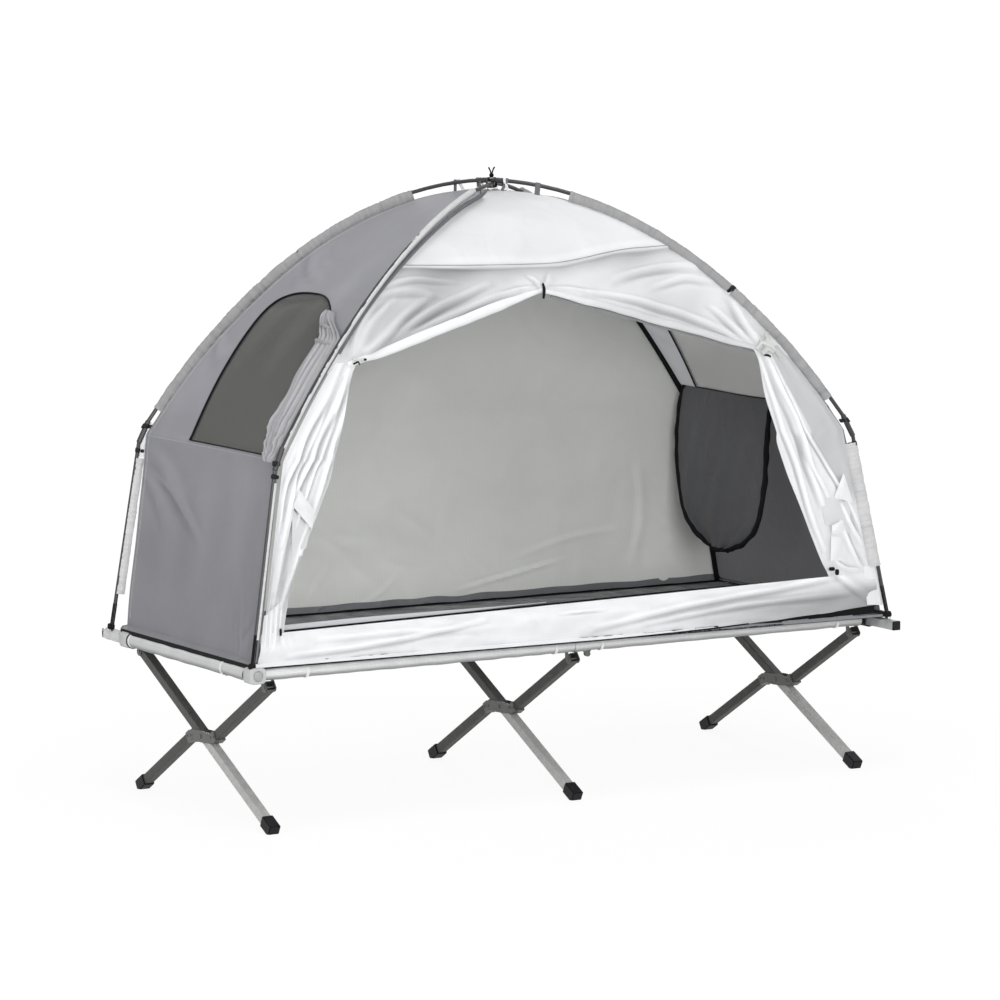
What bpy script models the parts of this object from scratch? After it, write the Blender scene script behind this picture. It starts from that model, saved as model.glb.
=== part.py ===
"""Tent cot: a folding cot on three crossed pairs of legs with a two pole tent standing on it."""
import math

import bmesh
import bpy
from mathutils import Vector

# Cot frame sizes in metres
bar_distance = 0.95
rail_spacing = 0.71
rail_height = 0.410
rail_radius = 0.0125
rail_end_margin = 0.02
hinge_distance = 0.050
hinge_depth = 0.0245
hinge_gap = 0.0004
clearance = 0.0004
plate = 0.0025
leg_end_margin = 0.041
leg_width = 0.025
leg_bevel = 0.0025
tube_wall = 0.0012
leg_pivot_depth = 0.034
leg_top_reach = 0.0125
foot_height = 0.020
leg_end_reach = 0.012
cap_reach = 0.028
cap_depth = 0.050
cap_wall = 0.003
cross_gap = 0.045
cut_offset = 0.0275
cross_reach = 0.075
web_start = 0.052
boss_reach = 0.018
pin_radius = 0.003
shaft_radius = 0.004
head_radius = 0.006
head_height = 0.002
rivet_radius = 0.0035
rivet_sunk = 0.001
saddle_reach = 0.0212
cheek_radius = 0.013
bar_overhang = 0.150
bar_offset = 0.067
bar_cap = 0.004
joint_radius = 0.0190
joint_reach = 0.019
lug_width = 0.005
lug_inner = 0.0030
lug_radius = 0.008
lug_root = 0.016
hinge_reach = 0.024

# Bed cloth sizes
cloth = 0.002
hook_radius = 0.0133
bed_end_margin = 0.004
end_sleeve_inner = 0.0172
end_sleeve_outer = 0.0188
sleeve_margin = 0.0005

# Tent sizes
tent_foot_radius = 1.040
tent_foot_height = 0.030
pole_tip_radius = 0.0040
shoulder_radius = 0.939
shoulder_height = 0.541
tent_top = 1.217
shoulder_pull = 0.604
apex_pull = 0.436
bow_length = 0.2255
bow_width = 0.027
leg_bow = 0.0202
tent_length_margin = 0.008256
tent_width_margin = 0.04852
twist_share = 0.0421
lean_share = 0.0306
pole_radius = 0.0055
ferrule_radius = 0.0075
pole_cross_depth = 0.0130
cloth_inset = 0.017
tent_cloth = 0.0016
corner_margin = 0.0013
panel_top_half = 0.013
panel_foot = 0.0186
tuck = 0.055
front_sag = 0.014
loop_across = 0.0120
loop_inward = 0.0100
floor_height = 0.0168
floor_side_margin = 0.004
seam_height_left = 0.547
seam_height_right = 0.603
window_top = 0.935
roll_radius = 0.036
roll_seat = 0.0018
mesh_offset = 0.0022
mesh_cloth = 0.001
mesh_lap = 0.006
flap_length = 0.430
flap_offset = 0.050
flap_sag = 0.012
flap_seat = 0.0038
curtain_fold = 0.010
tie_half = 0.0138
tie_width = 0.008
tie_cloth = 0.0018
knot_radius = 0.0065
tail_length = 0.032
tail_radius = 0.0022

# Angles in degrees
shoulder_angle = 80.3

# Numbers of sides
pin_sides = 12
rivet_sides = 8
pole_sides = 8

# Shares of the driving sizes
foot_spread_share = 1.0
leg_share = 0.36
sleeve_top_share = 0.33
door_top_share = 0.558
door_drop_share = 0.100
door_reach_share = 0.885
door_middle_share = -0.032
seam_gap_share = 0.0004
sill_lift_share = 0.025
roll_flat_share = 0.45
roll_reach_share = 0.84
flap_front_share = -0.35
flap_back_share = 0.90
curtain_outer_share = 0.985
curtain_top_share = 0.90
curtain_left_shares = (0.935, 0.32)
curtain_right_shares = (0.845, 0.50)
sill_left_height_share = 0.190
sill_right_height_share = 0.262
window_left_middle_share = 0.15
window_left_front_shares = (-0.87, 0.35)
window_left_back_shares = (0.41, 0.37)
window_right_middle_share = 0.0
window_right_front_shares = (-0.80, 0.30)
window_right_back_shares = (0.741, -0.337)
roll_end_share = 0.35
flap_tip_share = 0.12
boss_share = 1.35
floor_reach_share = 0.98
ferrule_below_share = 0.015
ferrule_above_share = 0.012
ferrule_clear_share = 0.004
ferrule_step_share = 0.001
ferrule_high_shares = (0.955, 0.985)
tail_out_share = 0.4
tail_side_share = 0.2
tail_curl_share = 0.35

colours = {
    "rail_metal": (0.48, 0.49, 0.49),
    "leg_metal": (0.20, 0.20, 0.19),
    "bracket_metal": (0.30, 0.30, 0.30),
    "fitting_black": (0.012, 0.012, 0.013),
    "bed_grey": (0.42, 0.43, 0.43),
    "silver_cloth": (0.78, 0.79, 0.81),
    "grey_cloth": (0.23, 0.23, 0.25),
    "dark_cloth": (0.075, 0.075, 0.078),
    "mesh_cloth": (0.10, 0.10, 0.10),
    "pole_black": (0.03, 0.03, 0.032),
}

half_spacing = rail_spacing / 2
rail_end_distance = bar_distance - rail_end_margin
leg_distance = bar_distance - leg_end_margin
bed_end = rail_end_distance - bed_end_margin
plan_length_share = (bar_distance + tent_length_margin) / tent_foot_radius
plan_width_share = (half_spacing + tent_width_margin) / tent_foot_radius
foot_spread = half_spacing * foot_spread_share
pivot_height = rail_height - leg_pivot_depth
leg_run = half_spacing + foot_spread
leg_fall = pivot_height - foot_height
leg_slope = math.atan2(leg_fall, leg_run)
leg_reach = math.hypot(leg_run, leg_fall)
cross_distance = half_spacing / math.cos(leg_slope)
cut_turn = math.asin(cut_offset / cross_distance)
cut_slope = leg_slope + cut_turn
cut_reach = cross_distance * math.cos(cut_turn)
cross_height = pivot_height - half_spacing * math.tan(leg_slope)
half_leg = leg_width / 2
bar_length = rail_spacing + bar_overhang


# Tools shared by all pieces
def clear_scene():
    """Remove every object so that only this part is in the file."""
    for item in list(bpy.data.objects):
        bpy.data.objects.remove(item, do_unlink=True)


def make_material(name, roughness, metallic):
    """One Principled material with the colour listed for its name."""
    material = bpy.data.materials.new(name)
    material.use_nodes = True
    shader = material.node_tree.nodes["Principled BSDF"]
    shader.inputs["Base Color"].default_value = (*colours[name], 1.0)
    shader.inputs["Roughness"].default_value = roughness
    shader.inputs["Metallic"].default_value = metallic
    return material


def copy_material(kind, name):
    """A material of its own for one object, made from a shared kind."""
    material = kinds[kind].copy()
    material.name = name + "_" + kind
    return material


def finish(name, mesh_data, kind, origin=(0, 0, 0), turn=0.0, smooth=True):
    """Turn a bmesh into a named object with its origin on its joint axis."""
    bmesh.ops.recalc_face_normals(mesh_data, faces=mesh_data.faces)
    mesh = bpy.data.meshes.new(name)
    mesh_data.to_mesh(mesh)
    mesh_data.free()
    item = bpy.data.objects.new(name, mesh)
    bpy.context.scene.collection.objects.link(item)
    item.location = origin
    item.rotation_euler = (turn, 0.0, 0.0)
    if kind:
        mesh.materials.append(copy_material(kind, name))
    if smooth:
        mesh.shade_smooth()
        mesh.set_sharp_from_angle(angle=math.radians(35))
    return item


def shift(mesh_data, origin):
    """Move all points so that the given place becomes the origin."""
    bmesh.ops.translate(mesh_data, verts=mesh_data.verts, vec=-Vector(origin))


def combine(target, tool, operation):
    """Join or cut one object with another and keep the result as plain mesh."""
    step = target.modifiers.new("combine", "BOOLEAN")
    step.operation = operation
    step.solver = "EXACT"
    step.object = tool
    bpy.context.view_layer.update()
    graph = bpy.context.evaluated_depsgraph_get()
    mesh = bpy.data.meshes.new_from_object(target.evaluated_get(graph))
    target.modifiers.clear()
    target.data = mesh
    bpy.data.objects.remove(tool, do_unlink=True)
    mesh.shade_smooth()
    mesh.set_sharp_from_angle(angle=math.radians(35))
    return target


def add_rod(mesh_data, start, end, radius, sides):
    """Add a closed round rod between two points."""
    start = Vector(start)
    end = Vector(end)
    along = (end - start).normalized()
    helper = Vector((0, 0, 1)) if abs(along.z) < 0.9 else Vector((1, 0, 0))
    first = along.cross(helper).normalized()
    second = along.cross(first)
    rings = []
    for place in (start, end):
        ring = []
        for index in range(sides):
            angle = 2 * math.pi * index / sides
            offset = first * math.cos(angle) + second * math.sin(angle)
            ring.append(mesh_data.verts.new(place + offset * radius))
        rings.append(ring)
    for index in range(sides):
        after = (index + 1) % sides
        mesh_data.faces.new((rings[0][index], rings[0][after], rings[1][after], rings[1][index]))
    mesh_data.faces.new(list(reversed(rings[0])))
    mesh_data.faces.new(rings[1])


def add_box(mesh_data, low, high, bevel=0.0):
    """Add a box between two corners, with its edges rounded if asked."""
    middle = (Vector(low) + Vector(high)) / 2
    size = Vector(high) - Vector(low)
    made = bmesh.ops.create_cube(mesh_data, size=1.0)
    for vert in made["verts"]:
        vert.co = Vector((vert.co.x * size.x, vert.co.y * size.y, vert.co.z * size.z)) + middle
    if bevel:
        edges = {edge for vert in made["verts"] for edge in vert.link_edges}
        bmesh.ops.bevel(mesh_data, geom=list(edges), offset=bevel, segments=2, affect="EDGES")


def add_sweep(mesh_data, path, radii, sides, flat=1.0, side=None):
    """Add a closed tube that follows a path, with a radius for each point."""
    rings = []
    for index, place in enumerate(path):
        before = path[max(index - 1, 0)]
        after = path[min(index + 1, len(path) - 1)]
        along = (after - before).normalized()
        if side is None:
            helper = Vector((0, 0, 1)) if abs(along.z) < 0.9 else Vector((0, 1, 0))
            side = along.cross(helper).normalized()
        side = (side - along * side.dot(along)).normalized()
        up = along.cross(side)
        ring = []
        for step in range(sides):
            angle = 2 * math.pi * step / sides
            offset = side * math.cos(angle) + up * math.sin(angle) * flat
            ring.append(mesh_data.verts.new(place + offset * radii[index]))
        rings.append(ring)
    for first, second in zip(rings, rings[1:]):
        for step in range(sides):
            after = (step + 1) % sides
            mesh_data.faces.new((first[step], first[after], second[after], second[step]))
    mesh_data.faces.new(list(reversed(rings[0])))
    mesh_data.faces.new(rings[-1])


def add_cells(mesh_data, corners, cells, stations, kept, place):
    """Add one closed body made of cells of a flat drawing, each kept over some of the spans."""
    points = {}
    faces = {}

    def point(corner, station):
        key = (corner, station)
        if key not in points:
            across, up = corners[corner]
            points[key] = mesh_data.verts.new(place(across, up, stations[station]))
        return points[key]

    for number, cell in enumerate(cells):
        for span in range(len(stations) - 1):
            if not kept(number, span):
                continue
            loops = [[(corner, span) for corner in cell], [(corner, span + 1) for corner in cell]]
            for index, corner in enumerate(cell):
                other = cell[(index + 1) % len(cell)]
                loops.append([(corner, span), (other, span), (other, span + 1), (corner, span + 1)])
            for loop in loops:
                key = frozenset(loop)
                faces[key] = None if key in faces else loop
    for loop in faces.values():
        if loop:
            mesh_data.faces.new([point(*key) for key in loop])


def add_sheet(mesh_data, grid, kept, thickness, same=None):
    """Add a closed sheet of even thickness from a grid of points, leaving out some squares."""
    rows = len(grid)
    columns = len(grid[0])
    normals = [[Vector((0, 0, 0)) for _ in range(columns)] for _ in range(rows)]
    squares = []
    for row in range(rows - 1):
        for column in range(columns - 1):
            if kept and not kept(row, column):
                continue
            corners = ((row, column), (row, column + 1), (row + 1, column + 1), (row + 1, column))
            if same:
                corners = tuple(same(place) for place in corners)
            first = grid[row + 1][column + 1] - grid[row][column]
            second = grid[row + 1][column] - grid[row][column + 1]
            normal = first.cross(second)
            if normal.length:
                normal.normalize()
            squares.append(corners)
            for place in corners:
                normals[place[0]][place[1]] += normal
    layers = ({}, {})
    faces = {}

    def point(layer, place):
        if place not in layers[layer]:
            push = normals[place[0]][place[1]].normalized() * thickness * (layer - 0.5)
            layers[layer][place] = mesh_data.verts.new(grid[place[0]][place[1]] + push)
        return layers[layer][place]

    for corners in squares:
        for index, start in enumerate(corners):
            end = corners[(index + 1) % 4]
            key = frozenset((start, end))
            faces[key] = None if key in faces else (start, end)
        mesh_data.faces.new([point(1, place) for place in corners])
        mesh_data.faces.new([point(0, place) for place in reversed(corners)])
    for edge in faces.values():
        if edge:
            start, end = edge
            mesh_data.faces.new((point(0, start), point(0, end), point(1, end), point(1, start)))


def blend(first, second, share):
    """A point or number between two others."""
    return first + (second - first) * share


def add_tube(mesh_data, outer, inner, start, stop, place):
    """Add a tube open at both ends from an outer and an inner outline with as many points."""
    count = len(outer)
    cells = [(i, (i + 1) % count, count + (i + 1) % count, count + i) for i in range(count)]
    add_cells(mesh_data, outer + inner, cells, [start, stop], lambda number, span: True, place)


def rounded_square(half, radius):
    """Outline of a square with three points at each rounded corner."""
    points = []
    for corner in range(4):
        for step in range(3):
            angle = math.pi / 2 * corner + math.pi / 4 * step
            turn = math.pi / 2 * corner + math.pi / 4
            x = (half - radius) * math.copysign(1, math.cos(turn)) + radius * math.cos(angle)
            y = (half - radius) * math.copysign(1, math.sin(turn)) + radius * math.sin(angle)
            points.append((x, y))
    return points


def square_tube(mesh_data, start, stop):
    """Add a square tube along Y with rounded edges and an even wall."""
    add_tube(mesh_data, rounded_square(half_leg, leg_bevel),
             rounded_square(half_leg - tube_wall, leg_bevel - tube_wall), start, stop,
             lambda across, up, along: Vector((across, along, up)))


# Cot frame
def arc(radius, start, end, steps):
    """Points of an arc in the flat drawing of a rail, angles in degrees from the inner side."""
    points = []
    for index in range(steps + 1):
        angle = math.radians(blend(start, end, index / steps))
        points.append((radius * math.cos(angle), radius * math.sin(angle)))
    return points


def circle(radius, sides):
    """Outline of a round tube."""
    return arc(radius, 0, 360 - 360 / sides, sides - 1)


def rail_place(side, station):
    """Map a flat drawing at a rail to the room: across points to the bed, up, along the rail."""
    def place(across, up, along):
        return Vector((station + along, side * (half_spacing - across), rail_height + up))
    return place


def make_rail(name, side, start, end):
    """One half of a side rail."""
    data = bmesh.new()
    origin = (hinge_distance, side * half_spacing, rail_height - hinge_depth)
    sides = 24
    add_tube(data, circle(rail_radius, sides), circle(rail_radius - tube_wall, sides), start, end,
             lambda across, up, along: Vector((along, side * half_spacing - across, rail_height + up)))
    shift(data, origin)
    return finish(name, data, "rail_metal", origin)


def make_top_bracket(name, side, station):
    """Stamped bracket under a rail that holds the top of one leg."""
    steps = 4
    inner = arc(rail_radius + clearance, -80, 0, steps)
    outer = arc(rail_radius + clearance + plate, -80, 0, steps)
    lower = []
    for index in range(steps + 1):
        angle = math.radians(blend(180, 360, index / steps))
        lower.append((cheek_radius * math.cos(angle), cheek_radius * math.sin(angle) - leg_pivot_depth))
    corners = inner + outer + lower
    count = steps + 1
    band = [(i, i + 1, count + i + 1, count + i) for i in range(steps)]
    cheek = [(count + i, count + i + 1, 2 * count + i + 1, 2 * count + i) for i in range(steps)]
    near = half_leg + clearance
    stations = [-saddle_reach, -near - plate, -near, near, near + plate, saddle_reach]

    def kept(number, span):
        return number < steps or span in (1, 3)

    data = bmesh.new()
    add_cells(data, corners, band + cheek, stations, kept, rail_place(side, station))
    origin = (station, side * half_spacing, pivot_height)
    shift(data, origin)
    bracket = finish(name, data, "bracket_metal", origin)
    pin = bmesh.new()
    reach = near + plate + head_height
    add_rod(pin, (-reach, 0, 0), (reach, 0, 0), pin_radius, pin_sides)
    bracket = combine(bracket, finish("tool", pin, None, origin), "UNION")
    heads = bmesh.new()
    for end in (-1, 1):
        add_rod(heads, (end * (near + plate / 2), 0, 0), (end * reach, 0, 0), head_radius, pin_sides)
    bracket = combine(bracket, finish("tool", heads, None, origin), "UNION")
    rivets = bmesh.new()
    angle = math.radians(-30)
    out = Vector((0, -side * math.cos(angle), math.sin(angle)))
    base = Vector((0, 0, leg_pivot_depth))
    for end in (-1, 1):
        spot = Vector((end * (saddle_reach - rivet_radius - head_height / 2), 0, 0)) + base
        low = rail_radius + clearance + plate - rivet_sunk
        add_rod(rivets, spot + out * low, spot + out * (low + rivet_sunk + head_height),
                rivet_radius, rivet_sides)
    return combine(bracket, finish("tool", rivets, None, origin), "UNION")


def leg_frame(side):
    """Turn of a leg about its top pivot and where its foot lies in the turned drawing."""
    if side > 0:
        return math.pi + leg_slope, leg_reach, 0.0
    return -cut_slope, leg_reach * math.cos(cut_turn), leg_reach * math.sin(cut_turn)


def make_leg(name, station, side, start, end, holes, lift=0.0):
    """A length of square leg tube; the drawing runs along local Y from the top pivot."""
    data = bmesh.new()
    square_tube(data, start, end)
    bmesh.ops.translate(data, verts=data.verts, vec=(0, 0, lift))
    origin = (station, side * half_spacing, pivot_height)
    turn, _, _ = leg_frame(side)
    leg = finish(name, data, "leg_metal", origin, turn)
    for spot, radius in holes:
        tool = bmesh.new()
        add_rod(tool, (-leg_width, spot, 0), (leg_width, spot, 0), radius, pin_sides)
        leg = combine(leg, finish("tool", tool, None, origin, turn), "DIFFERENCE")
    return leg


def make_foot(name, station, side):
    """Black cap over the lower end of a leg, cut level with the ground."""
    turn, reach, lift = leg_frame(side)
    origin = (station, side * half_spacing, pivot_height)
    inner = half_leg + clearance
    outer = inner + cap_wall
    end = reach + cap_reach
    data = bmesh.new()
    add_box(data, (-outer, end - cap_depth, lift - outer), (outer, end, lift + outer), leg_bevel)
    cap = finish(name, data, "fitting_black", origin, turn)
    tool = bmesh.new()
    top = reach + leg_end_reach + clearance
    add_box(tool, (-inner, end - 2 * cap_depth, lift - inner), (inner, top, lift + inner))
    cap = combine(cap, finish("tool", tool, None, origin, turn), "DIFFERENCE")
    tool = bmesh.new()
    reach = cap_depth * 2
    middle = -side * foot_spread
    add_box(tool, (station - reach, middle - reach, -reach), (station + reach, middle + reach, 0))
    return combine(cap, finish("tool", tool, None), "DIFFERENCE")


def make_cross_bracket(name, station):
    """Channel that joins the two pieces of the cut leg and carries the pivot of the whole one."""
    near = half_leg + clearance
    far = near + plate
    corners = [(-far, -far), (-near, -far), (near, -far), (far, -far),
               (-far, -near), (-near, -near), (near, -near), (far, -near),
               (-far, near), (-near, near), (near, near), (far, near)]
    cells = [(0, 1, 5, 4), (2, 3, 7, 6), (4, 5, 9, 8), (6, 7, 11, 10), (1, 2, 6, 5)]
    stations = [-cross_reach, -web_start, -boss_reach, boss_reach, web_start, cross_reach]

    def kept(number, span):
        return number in (2, 3) or span in (0, 4)

    def lift_at(along):
        return cut_offset * min(max(along / web_start, -1), 1)

    def place(across, up, along):
        swell = boss_share if abs(along) <= boss_reach else 1
        return Vector((across, along, up * swell + lift_at(along)))

    data = bmesh.new()
    add_cells(data, corners, cells, stations, kept, place)
    origin = (station, 0, cross_height)
    bracket = finish(name, data, "bracket_metal", origin, -cut_slope)
    shaft = bmesh.new()
    add_rod(shaft, (-far - head_height, 0, 0), (far + head_height, 0, 0), shaft_radius, pin_sides)
    bracket = combine(bracket, finish("tool", shaft, None, origin, -cut_slope), "UNION")
    heads = bmesh.new()
    for end in (-1, 1):
        start = end * (far - plate / 2)
        stop = end * (far + head_height)
        add_rod(heads, (start, 0, 0), (stop, 0, 0), head_radius, pin_sides)
        for spot in (-cross_reach + head_radius, -web_start, web_start, cross_reach - head_radius):
            lift = head_radius * (1 if abs(spot) > web_start else -1) * math.copysign(1, spot) / 2
            lift += lift_at(spot)
            add_rod(heads, (start, spot, lift), (stop, spot, lift), rivet_radius, rivet_sides)
    return combine(bracket, finish("tool", heads, None, origin, -cut_slope), "UNION")


def make_hinge_leaf(name, side, half):
    """One leaf of the mid rail hinge; the left leaf carries the pin."""
    steps = 4
    corners = arc(rail_radius + clearance, -75, 0, steps)
    corners += arc(rail_radius + clearance + plate, -75, 0, steps)
    cells = [(i, i + 1, steps + 2 + i, steps + 1 + i) for i in range(steps)]
    stations = sorted((half * hinge_gap, half * (hinge_gap + hinge_reach)))
    data = bmesh.new()
    add_cells(data, corners, cells, stations, lambda number, span: True, rail_place(side, hinge_distance))
    origin = (hinge_distance, side * half_spacing, rail_height - hinge_depth)
    shift(data, origin)
    leaf = finish(name, data, "bracket_metal", origin)
    low = lug_inner if half < 0 else lug_inner + lug_width + hinge_gap
    high = low + lug_width
    top = hinge_depth - math.sqrt((rail_radius + clearance + plate / 2) ** 2 - low * low)
    outline = [(half * hinge_gap, top), (half * lug_root, top), (half * lug_radius, 0)]
    for index in range(1, 8):
        angle = math.pi * index / 8
        outline.append((half * lug_radius * math.cos(angle), -lug_radius * math.sin(angle)))
    outline.append((-half * lug_radius, 0))
    outline.append((-half * lug_radius * math.cos(math.pi / 4), lug_radius * math.sin(math.pi / 4)))
    outline.append((half * hinge_gap, lug_radius))
    lug = bmesh.new()
    rims = []
    for depth in (low, high):
        rims.append([lug.verts.new((x, -side * depth, z)) for x, z in outline])
    lug.faces.new(rims[0])
    lug.faces.new(list(reversed(rims[1])))
    for index in range(len(outline)):
        after = (index + 1) % len(outline)
        lug.faces.new((rims[0][index], rims[0][after], rims[1][after], rims[1][index]))
    leaf = combine(leaf, finish("tool", lug, None, origin), "UNION")
    pin = bmesh.new()
    reach = lug_inner + 2 * lug_width + hinge_gap * 2 + head_height
    if half < 0:
        add_rod(pin, (0, -side * lug_inner, 0), (0, -side * reach, 0), pin_radius, pin_sides)
        return combine(leaf, finish("tool", pin, None, origin), "UNION")
    add_rod(pin, (0, 0, 0), (0, -side * 2 * reach, 0), pin_radius + clearance, pin_sides)
    return combine(leaf, finish("tool", pin, None, origin), "DIFFERENCE")


def make_corner_joint(name, side, end):
    """Black tee at a rail end; the end bar passes through it."""
    data = bmesh.new()
    middle = Vector((end * bar_distance, side * half_spacing, rail_height))
    half = Vector((0, joint_reach, 0))
    add_rod(data, middle - half, middle + half, joint_radius, 24)
    joint = finish(name, data, "fitting_black")
    neck = bmesh.new()
    add_rod(neck, (end * (rail_end_distance + clearance), middle.y, middle.z), middle, rail_radius, 24)
    joint = combine(joint, finish("tool", neck, None), "UNION")
    hole = bmesh.new()
    inner = half_leg + clearance
    add_box(hole, (middle.x - inner, middle.y - 2 * joint_reach, middle.z - inner),
            (middle.x + inner, middle.y + 2 * joint_reach, middle.z + inner))
    return combine(joint, finish("tool", hole, None), "DIFFERENCE")


def make_end_bar(name, end):
    """Square bar across one end of the cot."""
    centre = -end * bar_offset
    data = bmesh.new()
    square_tube(data, -bar_length / 2, bar_length / 2)
    return finish(name, data, "rail_metal", (end * bar_distance, centre, rail_height))


def make_bar_cap(name, end, side):
    """Flush plug on the end of an end bar."""
    start = side * (bar_length / 2 + clearance)
    stop = start + side * bar_cap
    data = bmesh.new()
    low = min(start, stop)
    high = max(start, stop)
    add_box(data, (-half_leg, low, -half_leg), (half_leg, high, half_leg), leg_bevel / 2)
    return finish(name, data, "fitting_black", (end * bar_distance, -end * bar_offset, rail_height))


def make_bed():
    """Bed cloth: a flat sheet whose long edges hook round both rails."""
    inner = [(side, point) for side, point in hook_points(hook_radius)]
    outer = [(side, point) for side, point in hook_points(hook_radius + cloth)]
    corners = [(side * (half_spacing - across), up) for side, (across, up) in inner + outer]
    count = len(inner)
    cells = [(i, i + 1, count + i + 1, count + i) for i in range(count - 1)]
    data = bmesh.new()
    add_cells(data, corners, cells, [-bed_end, bed_end], lambda number, span: True,
              lambda across, up, along: Vector((along, across, rail_height + up)))
    return finish("bed_cloth", data, "bed_grey")


def hook_points(radius):
    """Outline of the bed cloth from under one rail over both and under the other."""
    first = [(-1, point) for point in arc(radius, 270, 90, 10)]
    second = [(1, point) for point in reversed(arc(radius, 270, 90, 10))]
    return first + second


def make_end_sleeve(name, end):
    """Cloth sleeve round an end bar between the corner joints."""
    reach = half_spacing - joint_reach - sleeve_margin
    sides = 20
    data = bmesh.new()
    add_tube(data, circle(end_sleeve_outer, sides), circle(end_sleeve_inner, sides), -reach, reach,
             lambda across, up, along: Vector((end * bar_distance + across, along, rail_height + up)))
    return finish(name, data, "bed_grey")


# Tent shape
def pole_curve(share):
    """Distance from the middle and height of a pole, from its foot to the top."""
    foot = Vector((tent_foot_radius, tent_foot_height))
    shoulder = Vector((shoulder_radius, shoulder_height))
    top = Vector((0, tent_top))
    if share <= leg_share:
        return blend(foot, shoulder, share / leg_share)
    q = (share - leg_share) / (1 - leg_share)
    start_angle = math.radians(shoulder_angle)
    first = shoulder + shoulder_pull * Vector((-math.cos(start_angle), math.sin(start_angle)))
    second = top + Vector((apex_pull, 0))
    p = 1 - q
    return shoulder * p ** 3 + first * 3 * p * p * q + second * 3 * p * q * q + top * q ** 3


def curve_frame(share):
    """Point, direction and inward normal of the pole curve."""
    step = 1 / 2000
    before = pole_curve(max(share - step, 0))
    after = pole_curve(min(share + step, 1))
    along = (after - before).normalized()
    return pole_curve(share), along, Vector((-along.y, along.x))


def half_sizes(reach, share):
    """Half the length and half the width of the tent, with the bow of its poles in plan."""
    rise = rise_of(share)
    bow = 4 * rise * (1 - rise)
    foot = min(share / leg_share, 1) * (1 - rise)
    length = reach * plan_length_share - bow_length * bow
    width = reach * plan_width_share - bow_width * bow + leg_bow * foot
    return length, width


def to_room(reach, height, end, side, share):
    """Place a point of the pole curve over one corner of the cot."""
    length, width = half_sizes(reach, share)
    x = end * length - lean_share * height
    y = side * width - twist_share * end * reach * plan_length_share
    return Vector((x, y, rail_height + height))


def pole_point(share, end, side, inset=0.0):
    """A point of a pole or, with an inset, of the cloth corner inside it."""
    place, _, inward = curve_frame(share)
    place = place + inward * inset
    return to_room(place.x, place.y, end, side, share)


def rise_of(share):
    """Share of the arch above the shoulder."""
    return max(0.0, (share - leg_share) / (1 - leg_share))


def cloth_curve(share):
    """The pole curve moved inwards to the cloth, a little more where the poles cross."""
    place, _, inward = curve_frame(share)
    return place + inward * (cloth_inset + pole_cross_depth * rise_of(share) ** 3)


def cloth_corner(share, end, side):
    """Where two walls meet; the back left corner is drawn in at its foot."""
    place = cloth_curve(share)
    point = to_room(place.x, place.y, end, side, share)
    if end < 0 and side > 0:
        low = max(0.0, 1 - place.y / shoulder_height)
        point.y -= tuck * low
    return point


def share_at(height):
    """Share along the pole curve at which the cloth corner has this height."""
    low = 0.0
    high = 1.0
    for _ in range(40):
        middle = (low + high) / 2
        if cloth_curve(middle).y < height:
            low = middle
        else:
            high = middle
    return (low + high) / 2


def share_at_width(width):
    """Share along the pole curve at which the tent is twice this wide."""
    low = leg_share
    high = 1.0
    for _ in range(40):
        middle = (low + high) / 2
        if half_sizes(cloth_curve(middle).x, middle)[1] > width:
            low = middle
        else:
            high = middle
    return (low + high) / 2


def wall_point(kind, across, share, push=0.0):
    """A point of one wall: across runs from -1 to 1, share from the foot to the top."""
    if kind in ("left", "right"):
        end = -1 if kind == "left" else 1
        first = cloth_corner(share, end, -1)
        second = cloth_corner(share, end, 1)
        out = Vector((end, 0, 0))
    else:
        side = -1 if kind == "front" else 1
        first = cloth_corner(share, -1, side)
        second = cloth_corner(share, 1, side)
        out = Vector((0, side, 0))
    _, _, inward = curve_frame(share)
    slope = Vector((out.x * -inward.x, out.y * -inward.x, -inward.y)).normalized()
    hollow = front_sag * (1 - across * across) * math.sin(math.pi * share)
    width = (second - first).length
    margin = 1 - 2 * corner_margin / width
    place = blend(first, second, (across * margin + 1) / 2)
    return place + slope * (push - hollow)


def sleeve_loop(share, end, side, toward, steps):
    """Points of the cloth loop round a pole, starting at the wall that it is sewn to."""
    step = 1 / 500
    along = pole_point(min(share + step, 1), end, side) - pole_point(max(share - step, 0), end, side)
    along.normalize()
    centre = pole_point(share, end, side)
    inner = pole_point(share, end, side, cloth_inset) - centre
    inner = (inner - along * inner.dot(along)).normalized()
    across = along.cross(inner)
    if across.dot(toward) < 0:
        across = -across
    points = []
    for index in range(steps + 1):
        angle = math.radians(blend(48, 318, index / steps))
        offset = inner * loop_inward * math.cos(angle) + across * loop_across * math.sin(angle)
        points.append(centre + offset)
    return points


foot_share = share_at(panel_foot)
top_share = share_at_width(panel_top_half)


def window_sides(kind, height):
    """Front and back edge of an end window as shares across the wall."""
    left = kind == "left"
    seam = seam_height_left if left else seam_height_right
    rise = min(max((height - seam) / (window_top - seam), 0), 1)
    middle = window_left_middle_share if left else window_right_middle_share
    front_low, front_gain = window_left_front_shares if left else window_right_front_shares
    back_low, back_gain = window_left_back_shares if left else window_right_back_shares
    front = front_low + front_gain * rise
    back = back_low + back_gain * rise
    front_round = math.sqrt(max(0.0, 1 - rise ** 8))
    back_round = math.sqrt(max(0.0, 1 - rise ** 16))
    return middle + (front - middle) * front_round, middle + (back - middle) * back_round


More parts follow.
